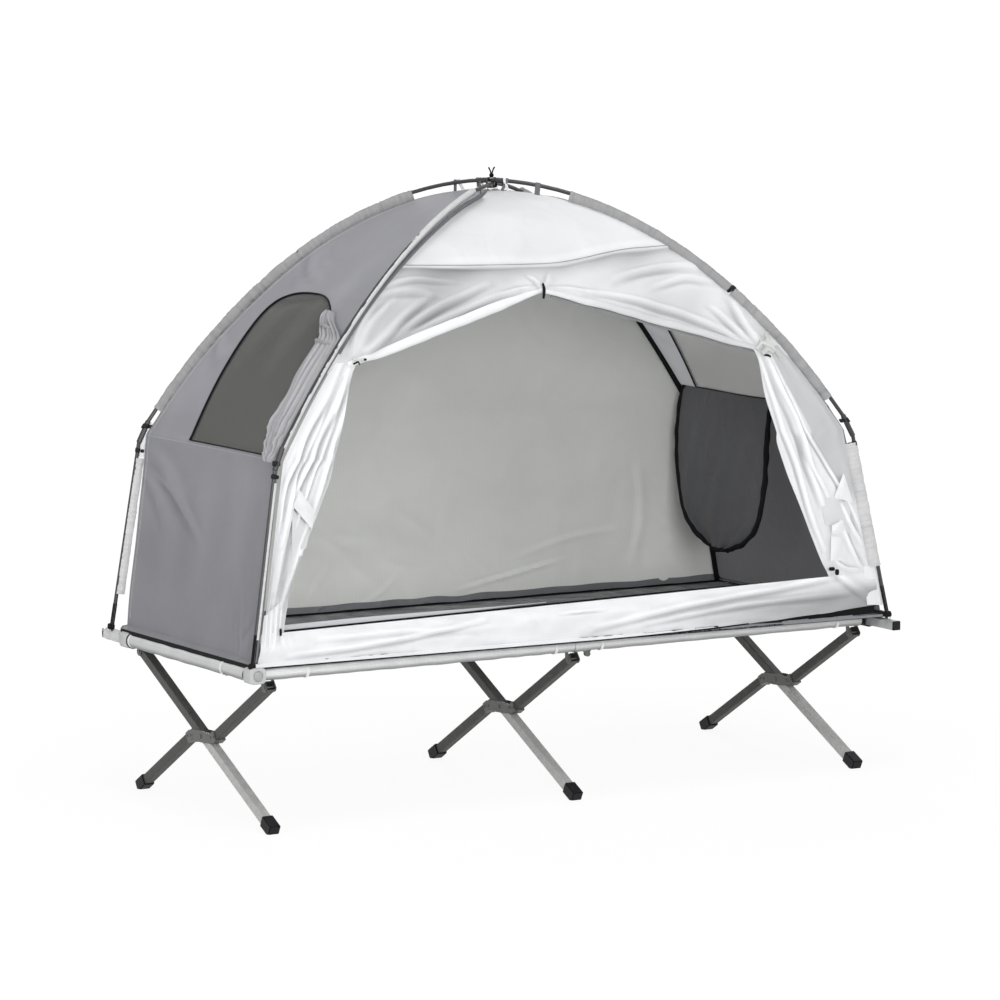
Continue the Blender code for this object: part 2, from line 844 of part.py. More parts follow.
def make_end_wall(name, kind, colour):
    """End wall with its arched window and the four sleeves that hold the poles."""
    end = -1 if kind == "left" else 1
    seam = seam_height_left if kind == "left" else seam_height_right
    seam_share = share_at(seam)
    arch_share = share_at(window_top)
    shares = [blend(foot_share, sleeve_top_share, index / 4) for index in range(5)]
    shares += [leg_share, seam_share]
    arch_rows = 9
    for index in range(1, arch_rows + 1):
        angle = math.pi / 2 * index / arch_rows
        shares.append(blend(seam_share, arch_share, math.sin(angle)))
    shares += [blend(arch_share, top_share, index / 6) for index in range(1, 7)]
    steps = 6
    strip = 3
    middle_columns = 4
    grid = []
    for share in shares:
        front, back = window_sides(kind, cloth_curve(share).y)
        if share <= seam_share:
            front, back = window_sides(kind, seam)
        if share >= arch_share:
            front = back = window_sides(kind, window_top)[0]
        stops = [blend(-1, front, index / strip) for index in range(strip + 1)]
        stops += [blend(front, back, index / middle_columns) for index in range(1, middle_columns + 1)]
        stops += [blend(back, 1, index / strip) for index in range(1, strip + 1)]
        row = list(reversed(sleeve_loop(share, end, -1, Vector((0, 1, 0)), steps)))
        row += [wall_point(kind, stop, share) for stop in stops]
        row += sleeve_loop(share, end, 1, Vector((0, -1, 0)), steps)
        grid.append(row)
    loops = steps + 1
    wall_end = loops + 2 * strip + middle_columns
    seam_row = 6
    arch_row = 6 + arch_rows
    lower = range(1, seam_row - 2)
    upper = range(seam_row + 1, len(shares) - 2)
    first_column = loops + strip

    def kept(row, column):
        if column < loops or column >= wall_end:
            return row in lower or row in upper
        inside = first_column <= column < first_column + middle_columns
        if inside:
            return row < seam_row
        return True

    def same(place):
        row, column = place
        if row >= arch_row and first_column < column <= first_column + middle_columns:
            return row, first_column
        return place

    data = bmesh.new()
    add_sheet(data, grid, kept, tent_cloth, same)
    return finish(name, data, colour)


def make_plain_wall(name, kind, rows, columns, colour):
    """A whole wall from its foot to the top."""
    grid = []
    for row in range(rows + 1):
        share = blend(foot_share, top_share, row / rows)
        grid.append([wall_point(kind, blend(-1, 1, c / columns), share) for c in range(columns + 1)])
    data = bmesh.new()
    add_sheet(data, grid, None, tent_cloth)
    return finish(name, data, colour)


def door_top(across):
    """Share along the pole curve of the upper edge of the door."""
    reach = abs(across - door_middle_share) / door_reach_share
    return door_top_share - door_drop_share * reach ** 1.1


def make_front_canopy():
    """Front slope from the top down to the swagged upper edge of the door."""
    rows = 10
    columns = 16
    grid = []
    for row in range(rows + 1):
        line = []
        for column in range(columns + 1):
            across = blend(-1, 1, column / columns)
            share = blend(door_top(across), top_share, row / rows)
            line.append(wall_point("front", across, share))
        grid.append(line)
    data = bmesh.new()
    add_sheet(data, grid, None, tent_cloth)
    return finish("front_canopy", data, "silver_cloth")


def sill_top(across):
    """Share along the pole curve of the upper edge of the sill under the door."""
    left = share_at(shoulder_height * sill_left_height_share)
    right = share_at(shoulder_height * sill_right_height_share)
    return blend(left, right, (across + 1) / 2)


def curtain_edge(end, fall):
    """Place across the wall of the free edge of a curtain, which bulges into the door."""
    low, bulge = curtain_left_shares if end < 0 else curtain_right_shares
    return end * (blend(curtain_top_share, low, fall) - bulge * fall ** 0.6 * (1 - fall) ** 1.5)


def make_curtain(name, end):
    """Front strip between a pole and the door, gathered at its tie and hanging in folds."""
    rows = 10
    columns = 14
    outer = end * curtain_outer_share
    grid = []
    for row in range(rows + 1):
        fall = row / rows
        line = []
        for column in range(columns + 1):
            across = blend(outer, curtain_edge(end, fall), column / columns)
            high = door_top(across) - seam_gap_share
            low = sill_top(across) + seam_gap_share
            fold = math.sin(column / columns * math.pi * 5 + fall * 1.4)
            fade = math.sin(math.pi * column / columns) * math.sin(math.pi * fall) ** 0.6
            depth = curtain_fold * fold * fade
            line.append(wall_point("front", across, blend(high, low, fall), depth))
        grid.append(line)
    data = bmesh.new()
    add_sheet(data, grid, None, tent_cloth)
    return finish(name, data, "silver_cloth")


def make_sill():
    """Low strip of the front wall under the door."""
    rows = 4
    columns = 20
    grid = []
    for row in range(rows + 1):
        line = []
        for column in range(columns + 1):
            across = blend(-1, 1, column / columns)
            low = foot_share + sill_lift_share * max(0.0, across) ** 3
            share = blend(low, sill_top(across), row / rows)
            line.append(wall_point("front", across, share))
        grid.append(line)
    data = bmesh.new()
    add_sheet(data, grid, None, tent_cloth)
    return finish("front_sill", data, "silver_cloth")


def make_window_mesh(name, kind):
    """Fine net behind an arched window."""
    seam = seam_height_left if kind == "left" else seam_height_right
    rows = 9
    columns = 6
    grid = []
    for row in range(rows + 1):
        share = blend(share_at(seam - mesh_lap), share_at(window_top), math.sin(math.pi / 2 * row / rows))
        place = cloth_curve(share)
        front, back = window_sides(kind, place.y)
        lap = mesh_lap / half_sizes(place.x, share)[1]
        front = max(front - lap, -1)
        back = back + lap
        grid.append([wall_point(kind, blend(front, back, c / columns), share, -mesh_offset)
                     for c in range(columns + 1)])
    data = bmesh.new()
    add_sheet(data, grid, None, mesh_cloth)
    return finish(name, data, "mesh_cloth")


def make_window_roll():
    """The cover of the left window, bunched along its front edge."""
    path = []
    radii = []
    steps = 14
    for index in range(steps + 1):
        along = index / steps
        height = blend(seam_height_left + roll_radius / 2, window_top - roll_radius * 2, along)
        share = share_at(height)
        front, _ = window_sides("left", height)
        push = roll_radius * roll_flat_share + roll_seat
        path.append(wall_point("left", max(front, -roll_reach_share), share, push))
        swell = math.sin(math.pi * along) ** 0.5
        radii.append(roll_radius * blend(roll_end_share, 1, swell))
    data = bmesh.new()
    add_sweep(data, path, radii, 12, roll_flat_share, Vector((0, 1, 0)))
    return finish("left_window_roll", data, "silver_cloth")


def make_window_flap():
    """The cover of the right window, unzipped and hanging inside from its seam."""
    rows = 10
    columns = 8
    share = share_at(seam_height_right)
    grid = []
    for row in range(rows + 1):
        fall = math.sin(math.pi / 2 * row / rows)
        width = max((1 - fall ** 3) ** 0.5, flap_tip_share)
        line = []
        for column in range(columns + 1):
            across = blend(-1, 1, column / columns)
            stop = blend(flap_front_share, flap_back_share, (across * width + 1) / 2)
            place = wall_point("right", stop, share, -flap_seat)
            bow = flap_sag * (1 + math.cos(across * math.pi)) * fall
            inward = flap_offset * math.sqrt(fall) + bow
            line.append(place + Vector((-inward, 0, -flap_length * fall)))
        grid.append(line)
    data = bmesh.new()
    add_sheet(data, grid, None, tent_cloth)
    return finish("right_window_flap", data, "dark_cloth")


def make_tent_floor():
    """Floor cloth of the tent, lying just above the bed cloth."""
    rows = 8
    columns = 20
    margin = Vector((0, floor_side_margin, 0))
    grid = []
    for row in range(rows + 1):
        line = []
        for column in range(columns + 1):
            across = blend(-floor_reach_share, floor_reach_share, column / columns)
            front = wall_point("front", across, foot_share) + margin
            back = wall_point("back", across, foot_share) - margin
            place = blend(front, back, row / rows)
            place.z = rail_height + floor_height
            line.append(place)
        grid.append(line)
    data = bmesh.new()
    add_sheet(data, grid, None, tent_cloth)
    return finish("tent_floor", data, "dark_cloth")


def make_pole(name, twist, drop):
    """One bent pole from corner to opposite corner, thicker at its joints."""
    ferrules = [(leg_share - ferrule_below_share, leg_share + ferrule_above_share), ferrule_high_shares]
    stations = [(index / 30, pole_radius) for index in range(31)]
    for start, stop in ferrules:
        low = start - ferrule_clear_share
        high = stop + ferrule_clear_share
        stations = [item for item in stations if not low < item[0] < high]
        stations += [(start - ferrule_step_share, pole_radius), (start, ferrule_radius),
                     (stop, ferrule_radius), (stop + ferrule_step_share, pole_radius)]
    stations.sort()
    points = [(pole_point(share, -1, -twist), radius, share) for share, radius in stations]
    points += [(pole_point(share, 1, twist), radius, share) for share, radius in reversed(stations[:-1])]
    path = []
    for place, _, share in points:
        path.append(place - Vector((0, 0, drop * rise_of(share) ** 3)))
    radii = [radius for _, radius, _ in points]
    seat = joint_radius if twist > 0 else half_leg
    for end, place in ((-1, path[0]), (1, path[-1])):
        tip = Vector((place.x, place.y, rail_height + seat + clearance))
        path.insert(0 if end < 0 else len(path), tip)
        radii.insert(0 if end < 0 else len(radii), pole_tip_radius)
    data = bmesh.new()
    add_sweep(data, path, radii, pole_sides)
    return finish(name, data, "pole_black")


def make_apex_tie():
    """Black tape tied round both poles where they cross."""
    centre = pole_point(1, 1, 1)
    middle = centre - Vector((0, 0, pole_cross_depth / 2))
    tall = pole_cross_depth / 2 + pole_radius + tie_cloth / 2
    outline = []
    for index in range(16):
        angle = 2 * math.pi * index / 16
        squash = (abs(math.cos(angle)) ** 5 + abs(math.sin(angle)) ** 5) ** (-1 / 5)
        outline.append((squash * math.cos(angle), squash * math.sin(angle)))
    corners = [(y * tie_half, z * tall) for y, z in outline]
    corners += [(y * (tie_half + tie_cloth), z * (tall + tie_cloth)) for y, z in outline]
    cells = [(i, (i + 1) % 16, 16 + (i + 1) % 16, 16 + i) for i in range(16)]
    data = bmesh.new()
    add_cells(data, corners, cells, [-tie_width / 2, tie_width / 2], lambda number, span: True,
              lambda across, up, along: middle + Vector((across, along, up)))
    tie = finish("apex_tie", data, "fitting_black")
    knot = bmesh.new()
    bmesh.ops.create_uvsphere(knot, u_segments=10, v_segments=6, radius=knot_radius)
    top = middle + Vector((0, 0, tall + knot_radius))
    bmesh.ops.translate(knot, verts=knot.verts, vec=top)
    tie = combine(tie, finish("tool", knot, None), "UNION")
    for side in (-1, 1):
        tail = bmesh.new()
        path = []
        for index in range(7):
            along = index / 6
            reach = side * tail_length * along
            rise = tail_length * (along - tail_curl_share * along * along)
            path.append(top + Vector((reach * tail_out_share, reach * tail_side_share, rise)))
        add_sweep(tail, path, [tail_radius] * 7, 6)
        tie = combine(tie, finish("tool", tail, None), "UNION")
    return tie


# Build
clear_scene()
kinds = {
    "rail_metal": make_material("rail_metal", 0.42, 0.6),
    "leg_metal": make_material("leg_metal", 0.45, 0.5),
    "bracket_metal": make_material("bracket_metal", 0.40, 0.7),
    "fitting_black": make_material("fitting_black", 0.55, 0.0),
    "bed_grey": make_material("bed_grey", 0.85, 0.0),
    "silver_cloth": make_material("silver_cloth", 0.60, 0.0),
    "grey_cloth": make_material("grey_cloth", 0.70, 0.0),
    "dark_cloth": make_material("dark_cloth", 0.80, 0.0),
    "mesh_cloth": make_material("mesh_cloth", 0.90, 0.0),
    "pole_black": make_material("pole_black", 0.45, 0.0),
}
rows_of_legs = (("left", -leg_distance), ("mid", 0.0), ("right", leg_distance))
half_leg_reach = cross_distance
for side_name, side in (("front", -1), ("back", 1)):
    make_rail("rail_" + side_name + "_left", side, -rail_end_distance, hinge_distance - hinge_gap)
    make_rail("rail_" + side_name + "_right", side, hinge_distance + hinge_gap, rail_end_distance)
    make_hinge_leaf("hinge_" + side_name + "_left", side, -1)
    make_hinge_leaf("hinge_" + side_name + "_right", side, 1)
    for end_name, end in (("left", -1), ("right", 1)):
        make_corner_joint("corner_joint_" + side_name + "_" + end_name, side, end)
for leg_name, station in rows_of_legs:
    make_top_bracket("leg_bracket_front_" + leg_name, -1, station)
    make_top_bracket("leg_bracket_back_" + leg_name, 1, station)
    pin_hole = (0.0, pin_radius + clearance)
    make_leg("leg_whole_" + leg_name, station, 1, -leg_top_reach, leg_reach + leg_end_reach,
             [pin_hole, (half_leg_reach, shaft_radius + clearance)])
    make_leg("leg_upper_" + leg_name, station, -1, -leg_top_reach, cut_reach - cross_gap, [pin_hole])
    _, foot_reach, foot_lift = leg_frame(-1)
    make_leg("leg_lower_" + leg_name, station, -1, foot_reach - cut_reach + cross_gap,
             foot_reach + leg_end_reach, [], foot_lift)
    make_cross_bracket("cross_bracket_" + leg_name, station)
    make_foot("foot_front_" + leg_name, station, 1)
    make_foot("foot_back_" + leg_name, station, -1)
for end_name, end in (("left", -1), ("right", 1)):
    make_end_bar("end_bar_" + end_name, end)
    make_bar_cap("bar_cap_" + end_name + "_front", end, -1)
    make_bar_cap("bar_cap_" + end_name + "_back", end, 1)
    make_end_sleeve("end_sleeve_" + end_name, end)
make_bed()
make_pole("pole_back_left_to_front_right", -1, 0.0)
make_pole("pole_front_left_to_back_right", 1, pole_cross_depth)
make_apex_tie()
make_front_canopy()
make_sill()
make_curtain("curtain_left", -1)
make_curtain("curtain_right", 1)
make_plain_wall("back_wall", "back", 16, 10, "silver_cloth")
make_end_wall("end_wall_left", "left", "grey_cloth")
make_end_wall("end_wall_right", "right", "dark_cloth")
make_window_mesh("window_mesh_left", "left")
make_window_mesh("window_mesh_right", "right")
make_window_roll()
make_window_flap()
make_tent_floor()
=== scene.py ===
"""Looks of the tent cot: cloth, sleeves, straps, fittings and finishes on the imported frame, in metres."""

import math

import bpy
import numpy as np
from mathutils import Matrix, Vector


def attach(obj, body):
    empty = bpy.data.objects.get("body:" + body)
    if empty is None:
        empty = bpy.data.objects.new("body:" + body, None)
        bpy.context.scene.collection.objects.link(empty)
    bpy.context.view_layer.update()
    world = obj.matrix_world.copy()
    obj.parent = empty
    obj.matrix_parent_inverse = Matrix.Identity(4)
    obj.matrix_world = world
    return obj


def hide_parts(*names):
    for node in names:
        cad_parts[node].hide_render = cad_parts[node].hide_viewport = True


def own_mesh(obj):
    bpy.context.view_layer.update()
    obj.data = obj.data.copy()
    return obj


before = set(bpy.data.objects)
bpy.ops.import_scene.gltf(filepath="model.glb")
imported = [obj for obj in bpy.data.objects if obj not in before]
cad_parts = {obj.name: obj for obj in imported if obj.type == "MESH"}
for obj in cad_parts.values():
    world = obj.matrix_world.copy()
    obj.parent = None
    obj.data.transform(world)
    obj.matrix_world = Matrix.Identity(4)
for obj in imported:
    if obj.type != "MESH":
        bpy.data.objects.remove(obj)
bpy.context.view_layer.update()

# Sizes of the part in metres, with its shares and its angle in degrees
bar_distance = 0.95
half_spacing = 0.355
rail_height = 0.410
bed_end = 0.926
bed_top = 0.0153
foot_radius = 1.040
foot_rise = 0.030
shoulder_radius = 0.939
shoulder_height = 0.541
tent_top = 1.217
shoulder_pull = 0.604
apex_pull = 0.436
bow_length = 0.2255
bow_width = 0.027
leg_bow = 0.0202
length_share = 0.9214
width_share = 0.388
twist_share = 0.0421
lean_share = 0.0306
cross_depth = 0.013
cloth_inset = 0.017
corner_margin = 0.0013
panel_foot = 0.0186
panel_top_half = 0.013
tuck = 0.055
front_sag = 0.014
leg_share = 0.36
shoulder_angle = 80.3
seams = {"left": 0.547, "right": 0.603}
window_top = 0.935
flap_length = 0.430
flap_offset = 0.050
cloth = 0.0016
arch_length = 2.0

# Tools for meshes
sharp_angle = 40
pipe_sides = 28
wear_size = 0.02


class Shape:
    """Points, faces, cloth places, tones and material numbers of one piece that is being built."""

    def __init__(self):
        self.points = []
        self.places = []
        self.tones = []
        self.faces = []
        self.numbers = []
        self.count = 0

    def add(self, points, faces, places=None, number=0, tone=1.0):
        """Add points with faces; number is one material number or one for each face."""
        points = np.asarray(points, float).reshape(-1, 3)
        if places is None:
            places = points[:, :2]
        self.points.append(points)
        self.places.append(np.asarray(places, float).reshape(-1, 2))
        self.tones.append(np.broadcast_to(np.asarray(tone, float), points.shape[:1]).copy())
        faces = [tuple(int(i) + self.count for i in face) for face in faces]
        self.faces += faces
        self.numbers += list(np.broadcast_to(number, len(faces)))
        self.count += len(points)


def make_piece(name, shape, materials, body, stands_for=()):
    """Turn a shape into a named object that rides on a body."""
    points = np.concatenate(shape.points)
    mesh = bpy.data.meshes.new(name)
    mesh.from_pydata(points.tolist(), [], shape.faces)
    layer = mesh.uv_layers.new(name="UVMap")
    corners = np.empty(len(mesh.loops), np.int32)
    mesh.loops.foreach_get("vertex_index", corners)
    layer.data.foreach_set("uv", np.concatenate(shape.places)[corners].astype(np.float32).ravel())
    tone = mesh.attributes.new("tone", "FLOAT", "POINT")
    tone.data.foreach_set("value", np.concatenate(shape.tones).astype(np.float32))
    for material in materials:
        mesh.materials.append(material)
    mesh.polygons.foreach_set("material_index", np.array(shape.numbers, np.int32))
    mesh.validate()
    mesh.shade_smooth()
    mesh.set_sharp_from_angle(angle=math.radians(sharp_angle))
    item = bpy.data.objects.new(name, mesh)
    bpy.context.scene.collection.objects.link(item)
    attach(item, body)
    if stands_for:
        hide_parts(*stands_for)
    return item


def unit(vectors):
    """Vectors brought to length one."""
    return vectors / np.maximum(np.linalg.norm(vectors, axis=-1, keepdims=True), 1e-12)


def add_sheet(shape, grid, thickness=cloth, kept=None, outside=1, number=0, inner=None, tone=1.0,
              inner_tone=None):
    """Closed sheet: the layers lie at P plus and minus h/2 times n, with n = dP/drow x dP/dcolumn."""
    rows, columns = grid.shape[:2]
    kept = np.ones((rows - 1, columns - 1), bool) if kept is None else kept
    tone = np.broadcast_to(np.asarray(tone, float), (rows, columns))
    inner_tone = tone if inner_tone is None else inner_tone
    inner_tone = np.broadcast_to(np.asarray(inner_tone, float), (rows, columns))
    number = np.broadcast_to(number, (rows - 1, columns - 1))
    inner = number if inner is None else np.broadcast_to(inner, (rows - 1, columns - 1))
    across = np.cumsum(np.r_[0, np.linalg.norm(np.diff(grid, axis=1), axis=-1).mean(0)])
    along = np.cumsum(np.r_[0, np.linalg.norm(np.diff(grid, axis=0), axis=-1).mean(1)])
    places = np.stack(np.meshgrid(across, along), -1)
    if outside < 0:
        grid, places, tone, inner_tone = grid[:, ::-1], places[:, ::-1], tone[:, ::-1], inner_tone[:, ::-1]
        kept, number, inner = kept[:, ::-1], number[:, ::-1], inner[:, ::-1]
    normal = unit(np.cross(np.gradient(grid, axis=0), np.gradient(grid, axis=1)))
    index = np.arange(rows * columns).reshape(rows, columns)
    a, b, c, d = index[:-1, :-1], index[:-1, 1:], index[1:, 1:], index[1:, :-1]
    deep = rows * columns
    edges = np.pad(kept, 1)
    faces = [np.stack([a, d, c, b], -1)[kept], np.stack([a, b, c, d], -1)[kept] + deep]
    numbers = [number[kept], inner[kept]]
    rims = ((a, d, edges[1:-1, :-2]), (d, c, edges[2:, 1:-1]),
            (c, b, edges[1:-1, 2:]), (b, a, edges[:-2, 1:-1]))
    for first, second, neighbour in rims:
        open_side = kept & ~neighbour
        faces.append(np.stack([second, first, first + deep, second + deep], -1)[open_side])
        numbers.append(number[open_side])
    faces = np.concatenate(faces)
    used, faces = np.unique(faces, return_inverse=True)
    points = np.concatenate([grid + normal * thickness / 2, grid - normal * thickness / 2]).reshape(-1, 3)
    places = np.concatenate([places, places]).reshape(-1, 2)
    tone = np.concatenate([tone, inner_tone]).ravel()
    shape.add(points[used], faces.reshape(-1, 4), places[used], np.concatenate(numbers), tone[used])


def path_frames(path, side):
    """Unit directions along a path and two unit directions across it, the first near the given side."""
    along = unit(np.gradient(path, axis=0))
    side = np.broadcast_to(np.asarray(side, float), path.shape)
    first = unit(side - along * np.sum(side * along, -1, keepdims=True))
    return along, first, np.cross(along, first)


def add_tube(shape, path, radius, sides=12, flat=1.0, side=(0, 0, 1), number=0, closed=False, tone=1.0):
    """Closed tube P = C + r (S cos a + f U sin a) along a path; closed joins its ends to a ring."""
    path = np.asarray(path, float)
    count = len(path)
    if closed:
        ring = np.concatenate([path[-1:], path, path[:1]])
        sides_round = np.broadcast_to(side, (count, 3))[[-1, *range(count), 0]]
        frames = [item[1:-1] for item in path_frames(ring, sides_round)]
    else:
        frames = path_frames(path, side)
    _, first, second = frames
    radius = np.asarray(radius, float)
    radius = np.broadcast_to(radius[:, None] if radius.ndim == 1 else radius, (count, sides))
    angle = np.arange(sides) * 2 * math.pi / sides
    offset = first[:, None] * np.cos(angle)[:, None] + second[:, None] * np.sin(angle)[:, None] * flat
    points = path[:, None] + offset * radius[..., None]
    index = np.arange(count * sides).reshape(count, sides)
    after = np.roll(index, -1, axis=1)
    if closed:
        follow, follow_after = np.roll(index, -1, axis=0), np.roll(after, -1, axis=0)
        faces = np.stack([index, after, follow_after, follow], -1).reshape(-1, 4).tolist()
    else:
        faces = np.stack([index[:-1], after[:-1], after[1:], index[1:]], -1).reshape(-1, 4).tolist()
        faces += [index[0][::-1].tolist(), index[-1].tolist()]
    length = np.r_[0, np.cumsum(np.linalg.norm(np.diff(path, axis=0), axis=-1))]
    round_way = angle[None, :] * np.abs(radius).mean()
    places = np.stack(np.broadcast_arrays(round_way, length[:, None]), -1)
    tone = np.asarray(tone, float)
    tone = np.broadcast_to(tone if tone.ndim == 2 else tone.reshape(-1, 1), (count, sides)).ravel()
    shape.add(points, faces, places, number, tone)


def add_pipe(shape, path, outer, inner):
    """Open tube with a wall: P = C + r (S cos a + U sin a) for a mean r, as a sheet as thick as the wall."""
    _, first, second = path_frames(path, (0, 0, 1))
    angle = np.linspace(0, 2 * math.pi, pipe_sides + 1)
    turn = first[:, None] * np.cos(angle)[:, None] + second[:, None] * np.sin(angle)[:, None]
    add_sheet(shape, path[:, None] + turn * ((outer + inner) / 2), outer - inner, outside=-1)


def add_block(shape, centre, half, axes=None, power=4.0):
    """Rounded block: |x/a|^p + |y/b|^p + |z/c|^p = 1, turned by the given axes."""
    rows, columns = 10, 20
    up = np.linspace(-math.pi / 2, math.pi / 2, rows + 1)[:, None]
    turn = (np.arange(columns) * 2 * math.pi / columns)[None, :]
    ball = np.stack([np.cos(up) * np.cos(turn), np.cos(up) * np.sin(turn), np.sin(up) + 0 * turn], -1)
    size = np.sum(np.abs(ball) ** power, -1, keepdims=True) ** (1 / power)
    local = ball / size * np.asarray(half, float)
    axes = np.eye(3) if axes is None else np.asarray(axes, float)
    points = np.asarray(centre, float) + local @ axes
    index = np.arange((rows + 1) * columns).reshape(rows + 1, columns)
    after = np.roll(index, -1, axis=1)
    faces = np.stack([index[:-1], after[:-1], after[1:], index[1:]], -1).reshape(-1, 4).tolist()
    shape.add(points, faces, local[..., :2].reshape(-1, 2))


def add_collar(shape, centre, half, bore, tone):
    """Rounded square sleeve along y with a round bore: the outline is |x/a|^p + |z/c|^p = 1."""
    power = 4.5
    columns = 48
    angle = np.arange(columns) * 2 * math.pi / columns
    way = np.stack([np.cos(angle), 0 * angle, np.sin(angle)], -1)
    reach = np.sum(np.abs(way[:, [0, 2]] / np.array([half[0], half[2]])) ** power, -1) ** (-1 / power)
    rows = []
    for sign in (-1, 1):
        stops = ((bore, 0, 0.001), (bore + 0.002, 0, 0), (-0.004, 1, 0), (-0.0013, 1, 0.0012), (0, 1, 0.004))
        rows += [(add + share * reach, sign * (half[1] - back)) for add, share, back in stops][::sign * -1]
    rows = rows[5:] + rows[:5]
    points = np.stack([way * (radius + 0 * angle)[:, None] + np.array([0, y, 0]) for radius, y in rows])
    index = np.arange(points.shape[0] * columns).reshape(-1, columns)
    after, follow = np.roll(index, -1, axis=1), np.roll(index, -1, axis=0)
    faces = np.stack([index, follow, np.roll(follow, -1, axis=1), after], -1).reshape(-1, 4)
    shape.add(np.asarray(centre, float) + points, faces, tone=tone)


def smooth_path(points, count):
    """Points of a cubic curve through the given ones, evenly spread over the chord lengths."""
    points = np.asarray(points, float)
    knots = np.r_[0, np.cumsum(np.linalg.norm(np.diff(points, axis=0), axis=-1))]
    slopes = np.gradient(points, knots, axis=0)
    where = np.linspace(0, knots[-1], count)
    span = np.clip(np.searchsorted(knots, where, side="right") - 1, 0, len(knots) - 2)
    size = knots[span + 1] - knots[span]
    u = ((where - knots[span]) / size)[:, None]
    size = size[:, None]
    start, stop = points[span], points[span + 1]
    return ((2 * u**3 - 3 * u**2 + 1) * start + (u**3 - 2 * u**2 + u) * size * slopes[span]
            + (3 * u**2 - 2 * u**3) * stop + (u**3 - u**2) * size * slopes[span + 1])


def smooth_step(low, high, value):
    """Rise from 0 at low to 1 at high: s squared times 3 less 2 s, where s is the share between them."""
    share = np.clip((np.asarray(value, float) - low) / (high - low), 0, 1)
    return share * share * (3 - 2 * share)


def hump(value, centre, width):
    """Round bump: e to the power of minus the square of the distance from the centre over the width."""
    return np.exp(-(((np.asarray(value, float) - centre) / width) ** 2))


def waves(first, second, size, seed):
    """Sum of nine seeded sine waves of about the given length, over the root of their number."""
    count = 9
    source = np.random.default_rng(seed)
    total = 0
    for _ in range(count):
        turn = source.uniform(0, 2 * math.pi)
        pace = 2 * math.pi / (size * source.uniform(0.6, 1.7))
        phase = source.uniform(0, 2 * math.pi)
        total = total + np.sin((first * math.cos(turn) + second * math.sin(turn)) * pace + phase)
    return total / math.sqrt(count)


def creases(first, second, size, seed):
    """Sharp folds: the crest lines of seeded waves whose places are bent by longer waves."""
    bent_first = first + waves(first, second, size * 3, seed + 1) * size * 0.35
    bent_second = second + waves(first, second, size * 3, seed + 2) * size * 0.35
    return 1 - np.abs(waves(bent_first, bent_second, size, seed)) * 1.6


def fold(x, y, line, depth, width):
    """Fold along a line: a ridge h exp(-(d/w)^2) with a hollow on its left side; gives height and a tone of
    painted highlight on the ridge and painted shade in the hollow.
    """
    path = smooth_path(line, 48)
    along = unit(np.gradient(path, axis=0))
    x, y = np.broadcast_arrays(x, y)
    near = np.full(x.shape, 9.0)
    side = np.zeros(x.shape)
    place = np.zeros(x.shape)
    half = np.linalg.norm(np.diff(path, axis=0), axis=-1).max() / 2
    for number, (point, way) in enumerate(zip(path, along)):
        across, up = x - point[0], y - point[1]
        ahead = np.clip(across * way[0] + up * way[1], -half, half)
        far = np.hypot(across - ahead * way[0], up - ahead * way[1])
        closer = far < near
        near = np.where(closer, far, near)
        side = np.where(closer, (way[0] * up - way[1] * across) / width, side)
        place = np.where(closer, number / 47, place)
    fade = np.sin(math.pi * np.clip(0.06 + 0.88 * place, 0, 1)) ** 0.7
    ridge = np.exp(-(near / width) ** 2)
    hollow = hump(side, 1.5, 0.8) * np.exp(-np.maximum(0, near / width - np.abs(side)) ** 2)
    return fade * depth * (ridge - 0.55 * hollow), fade * (0.40 * ridge - hollow)


def folds_of(kind, across, share, table):
    """Heights and painted-light tones of a table of folds, each with depth, width, darkness and points as
    shares of a wall.
    """
    x = across * wall_width(kind, share)
    y = share * arch_length
    push, tone = 0 * (x + y), 1 + 0 * (x + y)
    for depth, width, dark, points in table:
        points = np.array(points)
        line = np.stack([points[:, 0] * wall_width(kind, points[:, 1]), points[:, 1] * arch_length], -1)
        height, shade = fold(x, y, line, depth, width)
        push, tone = push + height, tone + dark * shade
    return push, tone


def painted_hollow_shade(push, reach=4, depth=0.004, share=0.16):
    """Painted shade that darkens hollows: the mean of the places around a point less the place itself."""
    wide = np.pad(push, reach, mode="edge")
    middle = slice(reach, -reach)
    ends = wide[2 * reach:, middle] + wide[:-2 * reach, middle]
    around = (ends + wide[middle, 2 * reach:] + wide[middle, :-2 * reach]) / 4
    return 1 - share * np.clip((around - push) / depth, -0.3, 1)


# Shape of the tent
def pole_curve(share):
    """Distance from the middle and height of a pole: a straight leg and then a cubic arch."""
    share = np.asarray(share, float)[..., None]
    foot = np.array([foot_radius, foot_rise])
    shoulder = np.array([shoulder_radius, shoulder_height])
    top = np.array([0, tent_top])
    angle = math.radians(shoulder_angle)
    first = shoulder + shoulder_pull * np.array([-math.cos(angle), math.sin(angle)])
    second = top + np.array([apex_pull, 0])
    q = np.clip((share - leg_share) / (1 - leg_share), 0, 1)
    p = 1 - q
    arch = shoulder * p**3 + first * 3 * p * p * q + second * 3 * p * q * q + top * q**3
    return np.where(share <= leg_share, foot + (shoulder - foot) * share / leg_share, arch)


def inward_of(share):
    """Inward normal of the pole curve."""
    share = np.asarray(share, float)
    step = 1 / 2000
    along = unit(pole_curve(np.clip(share + step, 0, 1)) - pole_curve(np.clip(share - step, 0, 1)))
    return np.stack([-along[..., 1], along[..., 0]], -1)


def rise_of(share):
    """Share of the arch above the shoulder."""
    return np.maximum(0, (np.asarray(share, float) - leg_share) / (1 - leg_share))


def half_sizes(reach, share):
    """Half the length and half the width of the tent at a share of its poles."""
    rise = rise_of(share)
    bow = 4 * rise * (1 - rise)
    low = np.clip(np.asarray(share, float) / leg_share, 0, 1) * (1 - rise)
    return reach * length_share - bow_length * bow, reach * width_share - bow_width * bow + leg_bow * low


